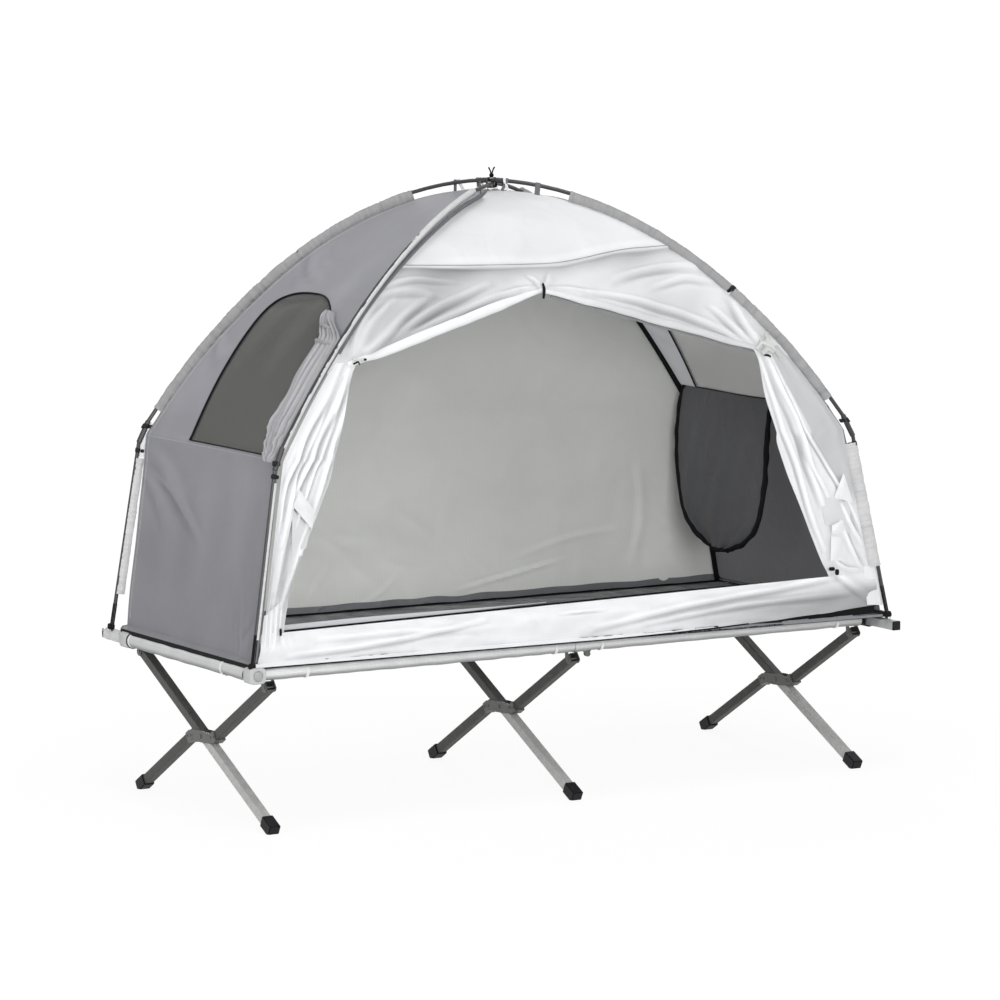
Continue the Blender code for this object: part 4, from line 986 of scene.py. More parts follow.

# Loose cloth beside the curtains: how far each patch stands out, its swell, its tone (where below one,
# painted shade) and its corners
left_patches = (
    (0.012, 0.004, 1.00, ((-0.935, 0.309), (-0.876, 0.268), (-0.880, 0.236), (-0.949, 0.279))),
    (0.005, 0.002, 0.84, ((-0.948, 0.276), (-0.884, 0.236), (-0.888, 0.205), (-0.930, 0.180))),
    (0.010, 0.004, 1.00, ((-0.915, 0.200), (-0.900, 0.204), (-0.902, 0.190), (-0.915, 0.188))),
)
right_patches = (
    (0.013, 0.004, 1.00, ((0.953, 0.274), (0.957, 0.271), (0.968, 0.217), (0.905, 0.230))),
    (0.005, 0.002, 0.84, ((0.862, 0.232), (0.968, 0.219), (0.940, 0.160), (0.862, 0.180))),
    (0.014, 0.004, 1.00, ((0.878, 0.176), (0.921, 0.186), (0.918, 0.163), (0.872, 0.160))),
    (0.013, 0.004, 1.00, ((0.870, 0.156), (0.906, 0.152), (0.886, 0.108), (0.852, 0.108))),
    (0.003, 0.001, 1.00, ((0.971, 0.094), (1.024, 0.092), (1.012, 0.016), (0.958, 0.019))),
)


def add_patches(shape, patches):
    """Small cloths, each even between its four corners and swollen by the product of two half sines."""
    u = np.linspace(0, 1, 14)[:, None, None]
    v = np.linspace(0, 1, 14)[None, :, None]
    for push, swell, tone, corners in patches:
        a, b, c, d = [np.array(corner) for corner in corners]
        flat = (a * (1 - u) + d * u) * (1 - v) + (b * (1 - u) + c * u) * v
        rise = swell * np.sin(math.pi * u) * np.sin(math.pi * v)
        cloth_points = wall("front", flat[..., 0], flat[..., 1], push + rise[..., 0])
        add_sheet(shape, cloth_points, thin_cloth, tone=tone)


def add_pleated_foot(shape):
    """Pleated cloth beside the left front corner: a sine across it stands out from the wall, with painted
    light on its crests and painted shade in its troughs.
    """
    pleat_depth = 0.0022
    across = np.linspace(-0.999, -0.947, 40)[None, :]
    share = 0.013 + (0.088 + 0.5 * (across + 0.97)) * np.linspace(0, 1, 40)[:, None]
    pleats = np.sin(across * 420 + share * 40) * smooth_step(0.010, 0.030, share)
    add_sheet(shape, wall("front", across, share, 0.0055 + pleat_depth * pleats), thin_cloth, outside=-1,
              tone=0.96 + 0.07 * pleats)


def make_curtain_trims():
    """The loose cloth beside both curtains."""
    shape = Shape()
    add_patches(shape, left_patches)
    add_pleated_foot(shape)
    add_patches(shape, right_patches)
    make_piece("curtain_trims", shape, [looks["white"], looks["shade"]], "tent")


make_curtain_trims()

# Sill under the door
sill_folds = (
    (0.010, 0.010, 0.16, ((-0.320, 0.048), (-0.508, 0.031), (-0.739, 0.017), (-0.900, 0.013))),
    (0.004, 0.005, 0.16, ((0.075, 0.050), (0.010, 0.050), (-0.063, 0.049))),
    (0.012, 0.012, 0.20, ((0.850, 0.078), (0.674, 0.066), (0.399, 0.050), (0.063, 0.020))),
    (0.010, 0.010, 0.16, ((0.880, 0.044), (0.531, 0.038), (0.227, 0.020))),
    (0.007, 0.012, 0.08, ((-0.352, 0.034), (-0.571, 0.041), (-0.818, 0.038))),
    (0.007, 0.010, 0.14, ((0.960, 0.035), (0.915, 0.060), (0.870, 0.092))),
    (0.005, 0.006, 0.14, ((-0.930, 0.030), (-0.935, 0.045), (-0.948, 0.062))),
    (0.005, 0.006, 0.14, ((-0.965, 0.020), (-0.962, 0.040), (-0.972, 0.065))),
)


def make_sill():
    """Low front wall: even rows between its two edges, pushed out by folds, a long bump and waves."""
    bump_height = 0.008
    wave_height = 0.002
    across = np.linspace(-1, 1, 261)[None, :]
    rise = np.linspace(0, 1, 61)[:, None]
    share = sill_foot(across) + (sill_top(across) - sill_foot(across)) * rise
    x = across * wall_width("front", share)
    push, tone = folds_of("front", across, share, sill_folds)
    push = push + bump_height * hump(rise, 0.6 + 0.1 * np.sin(x * 3), 0.25)
    push = push + wave_height * waves(x, share * arch_length * 3, 0.16, 21)
    # Painted shade: darker towards the right end and towards the foot, where the sill lifts off.
    tone = tone * (1 - 0.55 * smooth_step(0.15, 0.9, across) * smooth_step(0.95, 0.35, rise))
    shape = Shape()
    add_sheet(shape, wall("front", across, share, push), outside=-1, tone=tone * painted_hollow_shade(push))
    sill = make_piece("front_sill_cloth", shape, [looks["white"]], "tent", ["front_sill"])


def make_foot_binding():
    """Black zip on the sill, cord along the foot, a dark sheet of painted shadow behind the lifted edge, and
    sliders.
    """
    zip_radius = 0.0036
    cord_radius = 0.0021
    hem_radius = 0.0062
    shadow_sheet_depth = 0.0022
    shape = Shape()
    across = np.linspace(-0.945, 0.62, 240)
    thin = np.clip((0.66 - across) / 0.3, 0.2, 1)
    add_tube(shape, wall("front", across, sill_top(across) + 0.0015, -0.004), zip_radius * thin, 8, 0.7)
    for across in (np.linspace(-0.99, 0.30, 200), np.linspace(0.30, 0.99, 100)):
        add_tube(shape, wall("front", across, sill_foot(across) - 0.0002), cord_radius, 8)
    across = np.linspace(-0.985, 0.985, 120)
    for kind in ("left", "back", "right"):
        add_tube(shape, wall(kind, across, foot_share + 0.0012, 0.0030), hem_radius, 8, 0.35)
    add_block(shape, wall("front", -0.946, 0.055, 0.010), (0.0028, 0.003, 0.0095))
    # A dark sheet in black tape behind the lifted sill: painted shadow.
    across = np.linspace(0.10, 0.985, 90)[None, :]
    shadow_sheet = foot_share - 0.001 + (sill_foot(across) - foot_share + 0.006) * np.linspace(0, 1, 5)[:, None]
    add_sheet(shape, wall("front", across, shadow_sheet, -shadow_sheet_depth), 0.001, outside=-1)
    add_block(shape, wall("front", 0.852, 0.093, 0.014), (0.008, 0.005, 0.005))
    add_block(shape, wall("front", 0.868, 0.086, 0.014), (0.005, 0.004, 0.008))
    make_piece("foot_binding", shape, [looks["tape"]], "tent")


def make_zip_tape():
    """Grey tape inside the zip: a flat tube that narrows to the right."""
    shape = Shape()
    across = np.linspace(-0.94, -0.10, 140)
    wide = 0.009 * (1 - smooth_step(-0.75, -0.1, across)) + 0.0008
    add_tube(shape, wall("front", across, sill_top(across) + 0.0065, -0.009), wide, 10, 0.25)
    make_piece("zip_tape", shape, [looks["medium"]], "tent")


make_sill()
make_foot_binding()
make_zip_tape()

# Back wall
back_folds = (
    (-0.006, 0.009, -0.05, ((0.088, 0.021), (0.228, 0.039), (0.442, 0.066))),
    (-0.005, 0.008, -0.04, ((-0.430, 0.010), (-0.400, 0.045), (-0.353, 0.100))),
    (-0.005, 0.008, -0.04, ((-0.250, 0.006), (-0.180, 0.030), (-0.120, 0.070))),
    (-0.005, 0.014, -0.03, ((0.700, 0.050), (0.755, 0.150), (0.765, 0.250))),
    (-0.004, 0.012, -0.03, ((0.300, 0.080), (0.480, 0.110), (0.660, 0.120))),
)


def back_push(across, share):
    """How far the back wall stands out: folds, long waves, and creases near its foot."""
    x = across * wall_width("back", share)
    y = share * arch_length
    push, _ = folds_of("back", across, share, back_folds)
    creased = 0.0015 * creases(x + y, (x - y) * 0.4, 0.22, 44) * hump(share, 0.1, 0.12)
    return push + 0.003 * waves(x, y, 0.35, 41) + creased


def make_back_wall():
    """Back wall: rows that lie closer at the foot, with an inner tone of painted light that falls upward and
    to the left.
    """
    across = np.linspace(-1, 1, 181)[None, :]
    share = foot_share + (top_share - foot_share) * np.linspace(0, 1, 181)[:, None] ** 1.2
    push = back_push(across, share)
    # Painted light inside: lighter at the foot and towards the right, darker upwards and towards the left.
    inner_tone = 1.20 - 0.37 * smooth_step(0.0, 0.42, share) - 0.07 * smooth_step(-0.1, -0.8, across)
    inner_tone = inner_tone + 0.06 * smooth_step(0.2, 0.8, across)
    shape = Shape()
    add_sheet(shape, wall("back", across, share, push), inner=1, inner_tone=inner_tone)
    piece = make_piece("back_wall_cloth", shape, [looks["white"], looks["lining"]], "tent",
                       ["back_wall"])


make_back_wall()


# End walls and windows
def window_sides(kind, height):
    """Edges of an end window as shares across: slanting lines, rounded at the top by 1 less a high power."""
    left = kind == "left"
    seam = seams[kind]
    rise = np.clip((np.asarray(height, float) - seam) / (window_top - seam), 0, 1)
    middle = 0.15 if left else 0.0
    front = -0.87 + 0.35 * rise if left else -0.80 + 0.30 * rise
    back = 0.41 + 0.37 * rise if left else 0.741 - 0.337 * rise
    front_round = np.sqrt(np.maximum(0, 1 - rise**8))
    back_round = np.sqrt(np.maximum(0, 1 - rise**16))
    return middle + (front - middle) * front_round, middle + (back - middle) * back_round


end_folds = (
    (0.004, 0.034, 0.05, ((0.97, 0.335), (0.70, 0.315), (0.45, 0.275), (0.25, 0.225))),
    (0.003, 0.026, 0.05, ((0.985, 0.300), (0.80, 0.270), (0.62, 0.220))),
    (0.005, 0.014, 0.05, ((0.93, 0.62), (0.60, 0.585), (0.30, 0.575))),
    (0.004, 0.012, 0.05, ((0.95, 0.47), (0.80, 0.455), (0.68, 0.455))),
    (0.004, 0.014, 0.04, ((0.90, 0.30), (0.55, 0.270), (0.10, 0.200))),
    (0.004, 0.010, 0.06, ((-0.90, 0.06), (-0.80, 0.035), (-0.75, 0.010))),
    (0.004, 0.010, 0.05, ((-0.70, 0.10), (-0.72, 0.050), (-0.78, 0.012))),
)


def end_push(kind, across, share):
    """How far an end wall stands out: waves, folds and a low ridge on its seam."""
    seam_ridge = 0.0016
    seam_width = 0.0025
    x = across * wall_width(kind, share)
    y = share * arch_length
    push, _ = folds_of(kind, across, share, end_folds)
    line = seam_ridge * hump(share, share_at(seams[kind]), seam_width)
    return 0.0022 * waves(x, y, 0.30, 61 if kind == "left" else 71) + push + line


def make_end_wall(kind, end):
    """End wall with its window left open: rows to the seam, then rows that follow the window's arch."""
    seam_rows = 58
    side_columns = 25
    window_columns = 41
    seam = seams[kind]
    seam_share, arch_share = float(share_at(seam)), float(share_at(window_top))
    arch_rows = np.sin(math.pi / 2 * np.linspace(0, 1, 61))
    shares = np.concatenate([np.linspace(foot_share, seam_share - 0.004, seam_rows - 2),
                             seam_share + np.array([-0.003, -0.0015]),
                             seam_share + (arch_share - seam_share) * arch_rows,
                             np.linspace(arch_share, top_share, 51)[1:]])
    heights = np.clip(cloth_curve(shares)[:, 1], seam, window_top)
    front, back = [item[:, None] for item in window_sides(kind, heights)]
    u = np.linspace(0, 1, side_columns)[None, :]
    v = np.linspace(0, 1, window_columns)[None, 1:]
    strips = [-1 + (front + 1) * u, front + (back - front) * v, back + (1 - back) * u[:, 1:]]
    stops = np.concatenate(strips, axis=1)
    push = end_push(kind, stops, shares[:, None])
    kept = np.ones((len(shares) - 1, stops.shape[1] - 1), bool)
    kept[seam_rows:, side_columns - 1:side_columns + window_columns - 2] = False
    inner = np.where(np.arange(len(shares) - 1) < seam_rows, 2, 1)[:, None] + np.zeros_like(kept, int)
    # Painted light: darker towards the foot and lighter upwards in two soft steps, and painted shade in the
    # hollows.
    tone = 0.80 + 0.12 * smooth_step(0.12, 0.30, shares) + 0.18 * smooth_step(0.33, 0.42, shares)
    shape = Shape()
    add_sheet(shape, wall(kind, stops, shares[:, None], push), kept=kept, outside=-end, inner=inner,
              tone=tone[:, None] * painted_hollow_shade(push, share=0.25))
    piece = make_piece("end_wall_cloth_" + kind, shape, [looks["grey"], looks["medium"], looks["dark"]],
                       "tent", ["end_wall_" + kind])


def make_window_net(kind, end):
    """Net of a window: even rows and columns between its edges, a lap wider all round."""
    lap_width = 0.006
    net_depth = 0.0022
    shares = np.linspace(share_at(seams[kind] - lap_width), float(share_at(window_top)), 41)[:, None]
    front, back = window_sides(kind, cloth_curve(shares)[..., 1])
    lap = lap_width / wall_width(kind, shares)
    stops = (front - lap) + (back - front + 2 * lap) * np.linspace(0, 1, 31)[None, :]
    shape = Shape()
    net_points = wall(kind, stops, shares, end_push(kind, stops, shares) - net_depth)
    add_sheet(shape, net_points, 0.0006, outside=-end)
    # The right window takes the lighter glowing copy of the net: painted light.
    piece = make_piece("window_net_" + kind, shape, [looks["net" if kind == "left" else "painted_light_net"]], "tent",
                       ["window_mesh_" + kind])


def make_window_binding(kind, end):
    """Black binding of a window: a flat ring outside and one inside, along both edges and the seam."""
    binding_radius = 0.0030
    seam = seams[kind]
    rise = np.sin(math.pi / 2 * np.linspace(0, 1, 90)) * 0.9995
    heights = seam + (window_top - seam) * rise
    front, back = window_sides(kind, heights)
    bottom = np.linspace(back[0], front[0], 60)[1:-1]
    stops = np.concatenate([front, back[::-1], bottom])
    shares = share_at(np.concatenate([heights, heights[::-1], np.full(len(bottom), seam)]))
    shape = Shape()
    for offset in (0.0012, -0.0034):
        path = wall(kind, stops, shares, end_push(kind, stops, shares) + offset)
        add_tube(shape, path, binding_radius, 8, 0.6, side=(end, 0, 0), closed=True)
    make_piece("window_binding_" + kind, shape, [looks["tape"]], "tent")


for kind, end in (("left", -1), ("right", 1)):
    make_end_wall(kind, end)
    make_window_net(kind, end)
    make_window_binding(kind, end)


def make_tent_floor():
    """Floor cloth between the feet of the walls, with creases and painted shade in them, and a turned up edge
    all round.
    """
    floor_lift = 0.0186
    crease_height = 0.007
    crease_limit = 0.011
    edge_depth = 0.0048
    rows = np.linspace(0, 1, 61)[:, None, None]
    across = np.linspace(-1, 1, 161)
    front_foot = wall("front", across, foot_share)[None]
    back_foot = wall("back", across, foot_share)[None]
    grid = front_foot + (back_foot - front_foot) * rows
    rim = np.minimum(rows[..., 0], 1 - rows[..., 0]) * 0.8
    rim = np.minimum(rim, 0.9 * (1 - np.abs(across))[None, :])
    x, y = grid[..., 0], grid[..., 1]
    bumps = np.clip(creases(x * 0.7, y, 0.15, 51), 0, 1) * crease_height + 0.0014 * waves(x, y, 0.10, 55)
    wavy = smooth_step(0, 0.06, rim) * (np.clip(bumps, 0, crease_limit) - 0.0008)
    grid[..., 2] = rail_height + floor_lift + wavy
    shape = Shape()
    add_sheet(shape, grid, outside=-1, tone=painted_hollow_shade(bumps, 3, 0.003, 0.4))
    across = np.linspace(-0.985, 0.985, 120)[None, :]
    for kind in ("front", "back", "left", "right"):
        height = (0.021 if kind == "back" else 0.011) + 0.0012 * waves(across, 0 * across, 0.12, 57)
        share = foot_share + height * np.linspace(0, 1, 8)[:, None]
        edge = wall(kind, across, share, -edge_depth - 0.001 * np.sin(across * 30))
        add_sheet(shape, edge, 0.001, outside=-1)
    piece = make_piece("tent_floor_cloth", shape, [looks["floor"]], "tent", ["tent_floor"])


def make_window_flap():
    """Cover of the right window, hanging inside: a rounded cloth below the seam, with a zip round it."""
    zip_radius = 0.0072
    rows = np.sin(math.pi / 2 * np.linspace(0, 1, 61))[:, None]
    u = np.linspace(-1, 1, 49)[None, :]
    width = np.maximum(np.sqrt(np.maximum(0, 1 - rows**4.5)), 0.16)
    stops = -0.35 + 1.25 * (u * width + 1) / 2 - 0.14 * rows**2
    bow = 0.012 * (1 + np.cos(u * math.pi)) * rows
    inward = flap_offset * np.sqrt(rows) + bow + 0.0035 * waves(u * 0.25, rows * 0.43, 0.12, 81) * rows
    grid = wall("right", stops, share_at(seams["right"]), -0.0038)
    grid = grid + np.stack([-inward, 0 * inward, -flap_length * rows + 0 * u], -1)
    shape = Shape()
    add_sheet(shape, grid, outside=-1)
    flap = make_piece("window_flap_cloth", shape, [looks["flap"]], "tent",
                      ["right_window_flap"])
    edge = np.concatenate([grid[:, 0], grid[-1, 1:-1], grid[::-1, -1]])
    shape = Shape()
    rough = 1 + 0.15 * waves(np.arange(150)[:, None] * 0.01, np.arange(10)[None, :] * 0.01, 0.05, 83)
    add_tube(shape, smooth_path(edge[::3], 150), zip_radius * rough, 10, side=(1, 0, 0))
    trim = make_piece("window_flap_zip", shape, [looks["tape"]], "tent")


# Edge of the bunched cover beside the left window, as shares along and across the wall
cover_edge = ((0.357, -0.850), (0.360, -0.826), (0.372, -0.732), (0.384, -0.662), (0.395, -0.612),
              (0.418, -0.615), (0.446, -0.565), (0.480, -0.566), (0.494, -0.504), (0.516, -0.400),
              (0.522, -0.430))
cover_start_share = 0.357
cover_length_share = 0.165


def make_window_cover():
    """Cover of the left window, gathered into six pleats between its edge and the front pole."""
    swell = 0.011
    pleat_depth = 0.0115
    crumple_depth = 0.0025
    steps = np.linspace(0, 1, 130)
    shares = cover_start_share + cover_length_share * steps
    near = smooth_path(cover_edge, 400)
    near = np.interp(shares, near[:, 0], near[:, 1])
    far = -0.965 + 0.46 * smooth_step(0.76, 1.0, steps)
    v = np.linspace(0, 1, 97)[None, :]
    steps, shares = steps[:, None], shares[:, None]
    low = smooth_step(0.42, 0.10, steps)
    place = near[:, None] + (far - near)[:, None] * v
    turn = 2 * math.pi * (6 * v + 0.35 * np.sin(4 * steps + 5 * v) + 0.12 * low * np.sin(60 * steps))
    bulge = swell * np.sin(math.pi * np.clip(v, 0.02, 0.98)) ** 0.6
    pleats = np.sin(turn) * (0.6 + 0.4 * np.sin(9 * v + 6 * steps))
    pleats = pleats * smooth_step(0, 0.05, v) * smooth_step(1, 0.95, v)
    crumple = creases(steps * 0.33, v * 0.08, 0.022, 91) * low
    push = 0.006 + bulge + pleat_depth * pleats + crumple_depth * crumple
    shape = Shape()
    # Painted light: the pleats lighter on their crests and darker in their troughs, and painted shade on the
    # crumpled low end.
    tone = 0.86 - 0.06 * low + 0.12 * pleats
    add_sheet(shape, wall("left", place, shares, push), thin_cloth, outside=-1, tone=tone)
    cover = make_piece("bunched_window_cover", shape, [looks["cover"]], "tent",
                       ["left_window_roll"])


def make_cover_straps():
    """Two straps round the bunched cover: flat tubes on curves that leave the wall and come back to it."""
    shape = Shape()
    rises = np.array([0.006, 0.028, 0.028, 0.008])
    for share, places in ((0.499, (-0.500, -0.560, -0.640, -0.720)),
                          (0.479, (-0.575, -0.660, -0.780, -0.900))):
        ends = wall("left", np.array(places), share + np.array([0, 0.002, 0.001, 0.0]), rises)
        add_tube(shape, smooth_path(ends, 20), 0.0045, 8, 0.3)
    make_piece("window_cover_straps", shape, [looks["shade"]], "tent")


make_tent_floor()
make_window_flap()
make_window_cover()
make_cover_straps()


# Sleeves, clips and straps of the poles
def add_sleeve(shape, end, side, span, seed):
    """Gathered flat tube round a pole, whose inner edge lies on the cloth; its radius swells with creases,
    with painted shade in the gathers.
    """
    start, stop, width, inset, rough, number, tone = span
    thick = min(0.0095, width)
    length = (stop - start) * arch_length
    count = max(int(length / 0.0035), 12)
    shares = np.linspace(start, stop, count)
    more = cross_depth * rise_of(shares) ** 3 / 2
    centre = pole_point(shares, end, side, (inset + more)[:, None])
    inner = pole_point(shares, end, side, 0.02) - centre
    steps = np.linspace(0, length, count)[:, None]
    around = np.sin(np.arange(20)[None, :] * math.pi / 10) * 0.02
    gathers = creases(steps * 1.7, around + steps * 0.3, 0.028, seed)
    swell = 1 + rough * (0.8 * gathers + 0.5 * waves(steps, around, 0.05, seed + 1))
    # Painted shade in the gathers.
    shade = 1 + 2.4 * rough * np.clip(gathers, -1.2, 0.5)
    add_tube(shape, centre, (width + more[:, None]) * swell, 20, thick / width, side=inner, number=number,
             tone=tone * shade.mean(1))


def pole_axes(share, end, side):
    """Middle of a pole at a share, with its direction, its inward side and their cross product."""
    centre, ahead = pole_point(np.array([share, share + 0.004]), end, side)
    along = unit(ahead - centre)
    inward = unit(pole_point(share, end, side, 0.02) - centre)
    return centre, along, inward, np.cross(along, inward)


def add_clip(shape, end, side, share, size):
    """Hook round a pole with a short strap to the cloth: two rounded blocks."""
    centre, along, inward, third = pole_axes(share, end, side)
    axes = [inward, third, along]
    add_block(shape, centre, np.array([0.0088, 0.0082, 0.0085]) * size, axes, 5)
    add_block(shape, centre + inward * 0.0125, np.array([0.006, 0.0035, 0.006]) * size, axes)


def add_strap(shape, end, side, share, lean, number):
    """Band from a pole to the roof below it, which leans along the pole evenly as it falls."""
    drop = 0.026
    centre, along, inward, third = pole_axes(share, end, side)
    steps = np.linspace(-0.0075, drop, 8)[:, None]
    path = centre + inward * steps + along * lean * np.maximum(steps, 0) / drop + third * 0.0068
    add_tube(shape, path, 0.0042, 10, 0.2, side=along, number=number)


# Spans of each sleeve: start and stop, width, inset, roughness, material number (1 for the shaded copy of the
# sleeve cloth) and a tone of painted light
sleeves = (
    ("back_left", -1, 1, ((0.059, 0.316, 0.0115, 0.009, 0.06, 0, 0.96),
                          (0.384, 0.804, 0.0150, 0.008, 0.08, 1, 0.95))),
    ("front_left", -1, -1, ((0.044, 0.322, 0.0068, 0.003, 0.03, 0, 1.05),
                            (0.368, 0.851, 0.0068, 0.003, 0.02, 0, 0.98))),
    ("back_right", 1, 1, ((0.060, 0.316, 0.0105, 0.006, 0.08, 0, 1.0),
                          (0.384, 0.803, 0.0150, 0.006, 0.10, 1, 1.0))),
    ("front_right", 1, -1, ((0.092, 0.332, 0.0180, 0.0105, 0.06, 0, 0.90),
                            (0.392, 0.535, 0.0125, 0.0065, 0.10, 1, 1.0),
                            (0.541, 0.808, 0.0120, 0.006, 0.06, 1, 0.95))),
)
for name, end, side, spans in sleeves:
    shape = Shape()
    for number, span in enumerate(spans):
        add_sleeve(shape, end, side, span, 100 + 10 * number + end * 3 + side)
    make_piece("pole_sleeve_" + name, shape, [looks["sleeve"], looks["sleeve_shade"]], "tent")

# Clips and straps: end and side of the pole, share along it, and the size or the lean and material
clips = (
    (-1, 1, 0.368, 1.0), (-1, 1, 0.330, 0.8), (1, 1, 0.368, 1.0), (1, 1, 0.330, 0.8), (1, -1, 0.368, 1.0),
    (1, -1, 0.330, 0.8), (-1, -1, 0.356, 0.85), (-1, -1, 0.333, 0.8), (1, -1, 0.538, 0.9), (1, 1, 0.537, 1.0),
)
straps = (
    (-1, 1, 0.905, 0.012, 1), (-1, 1, 0.897, -0.004, 0), (-1, 1, 0.955, 0.0, 0), (-1, 1, 0.962, 0.01, 1),
    (1, 1, 0.90, 0.0, 0), (1, -1, 0.877, 0.0, 0), (1, -1, 0.872, 0.0, 0), (1, -1, 0.950, 0.014, 0),
    (1, -1, 0.957, -0.01, 1), (-1, -1, 0.905, 0.0, 0), (-1, -1, 0.965, 0.008, 0), (1, 1, 0.962, -0.008, 1),
)


def make_pole_clips():
    """All hooks on the poles."""
    shape = Shape()
    for clip in clips:
        add_clip(shape, *clip)
    make_piece("pole_clips", shape, [looks["black"]], "tent")


def make_roof_straps():
    """Straps under the crossing of the poles, and a white band over the gap between two back sleeves."""
    shape = Shape()
    for strap in straps:
        add_strap(shape, *strap)
    for end in (-1, 1):
        shares = np.linspace(0.318, 0.372, 16)
        inner = pole_point(shares, end, 1, 0.02) - pole_point(shares, end, 1)
        add_tube(shape, pole_point(shares, end, 1, 0.012), 0.0095, 10, 0.14, side=inner, number=1)
    make_piece("roof_straps", shape, [looks["band"], looks["white"]], "tent")


def make_foot_webbing():
    """Black webbing at the pole feet, each with a buckle and a steel ring, and a wedge at the right."""
    webbing_radius = 0.0060
    ring_radius = 0.0075
    wire_radius = 0.0016
    shape = Shape()
    for end, side in ((-1, 1), (-1, -1), (1, 1), (1, -1)):
        shares = np.linspace(-0.004, 0.052 if side < 0 else 0.040, 24)
        add_tube(shape, pole_point(shares, end, side), webbing_radius, 10, 0.9)
        centre, along, inward, third = pole_axes(0.0, end, side)
        ring_place = centre - along * 0.006 - inward * 0.002
        add_block(shape, ring_place, (0.010, 0.007, 0.008), [inward, third, along])
        angle = np.linspace(0, 2 * math.pi, 24, endpoint=False)[:, None]
        ring = centre - along * 0.014 + (inward * np.cos(angle) + along * np.sin(angle)) * ring_radius
        add_tube(shape, ring, wire_radius, 8, side=third, closed=True, number=1)
    add_block(shape, (0.950, -0.408, 0.4345), (0.012, 0.036, 0.0085))
    make_piece("pole_foot_webbing", shape, [looks["tape"], looks["steel"]], "tent")


def make_front_left_band():
    """Shaded band beside the front left sleeve, which widens upwards, and a thin cord round the corner."""
    shape = Shape()
    shares = np.linspace(0.47, 0.856, 160)
    wide = 0.0026 + 0.0180 * smooth_step(0.50, 0.84, shares)
    place = -1 + (wide - 0.001) / wall_width("front", shares)
    add_tube(shape, wall("front", place, shares, 0.0085), wide, 10, 0.25, side=(1, 0, 0.6))
    shares = np.linspace(0.388, 0.80, 160)
    gap = 0.0035 + 0.0012 * np.sin(shares * 400)
    add_tube(shape, wall("left", 1 - gap / wall_width("left", shares), shares, 0.0035), 0.0017, 8)
    make_piece("front_left_band", shape, [looks["band"]], "tent")


def make_corner_binding():
    """Black bindings inside the two back corners."""
    shape = Shape()
    shares = np.linspace(foot_share, 0.80, 120)
    add_tube(shape, wall("back", 0.990, shares, -0.007), 0.0095, 10, 0.55, side=(1, 0.3, 0))
    add_tube(shape, wall("back", -0.995, shares, -0.006), 0.0045, 10, 0.7)
    make_piece("corner_binding", shape, [looks["tape"]], "tent")


make_pole_clips()
make_roof_straps()
make_foot_webbing()
make_front_left_band()
make_corner_binding()

# Ties of the door: a radius, a material number and points as shares with how far they stand out
tie_cords = (
    (0.0040, 1, ((-0.928, 0.463, 0.014), (-0.905, 0.460, 0.023), (-0.878, 0.461, 0.016))),
    (0.0022, 0, ((-0.915, 0.456, 0.018), (-0.902, 0.457, 0.026), (-0.888, 0.455, 0.020))),
    (0.0075, 1, ((0.880, 0.447, 0.012), (0.900, 0.451, 0.024), (0.930, 0.460, 0.026), (0.968, 0.471, 0.012))),
    (0.0050, 1, ((0.868, 0.452, 0.014), (0.895, 0.457, 0.026), (0.918, 0.449, 0.031), (0.935, 0.441, 0.020))),
    (0.0045, 1, ((0.905, 0.462, 0.018), (0.912, 0.447, 0.031), (0.925, 0.452, 0.031), (0.918, 0.461, 0.026))),
    (0.0028, 0, ((0.885, 0.445, 0.008), (0.892, 0.443, 0.016), (0.902, 0.442, 0.012))),
)
toggle_points = ((-0.031, 0.566, 0.010), (-0.034, 0.556, 0.014), (-0.038, 0.541, 0.006))


def make_door_ties():
    """Knotted bands at both ends of the door, and a toggle whose radius follows a half sine."""
    shape = Shape()
    for radius, number, points in tie_cords:
        path = smooth_path([wall("front", *point) for point in points], 40)
        add_tube(shape, path, radius, 10, 0.75, number=number)
    add_block(shape, wall("front", -0.874, 0.461, 0.017), (0.0045, 0.004, 0.003))
    path = smooth_path([wall("front", *point) for point in toggle_points], 24)
    add_tube(shape, path, 0.0042 * (0.55 + 0.45 * np.sin(np.linspace(0.3, 2.9, 24))), 10)
    make_piece("door_ties", shape, [looks["tape"], looks["cord"]], "tent")


def make_seam_ridges():
    """Thin tubes along the seams of the roof, the back wall and the corners, in the shaded sleeve cloth as
    lines of painted shade.
    """
    ridge_radius = 0.0011
    shape = Shape()
    across = np.linspace(-0.99, 0.99, 300)
    add_tube(shape, wall("front", across, roof_seam(across) + 0.0015, 0.0058), 0.0012, 6)
    add_tube(shape, wall("back", across, seam_back, back_push(across, seam_back) + 0.0010), ridge_radius, 6)
    shares = np.linspace(0.02, 0.80, 160)
    for kind, side in (("left", -1), ("left", 1), ("right", 1), ("right", -1), ("back", -1), ("back", 1)):
        stops = side * (1 - 0.013 / wall_width(kind, shares))
        lift = end_push(kind, stops, shares) if kind != "back" else 0.0012
        add_tube(shape, wall(kind, stops, shares, lift + 0.0010), ridge_radius, 6)
    make_piece("seam_ridges", shape, [looks["sleeve_shade"]], "tent")


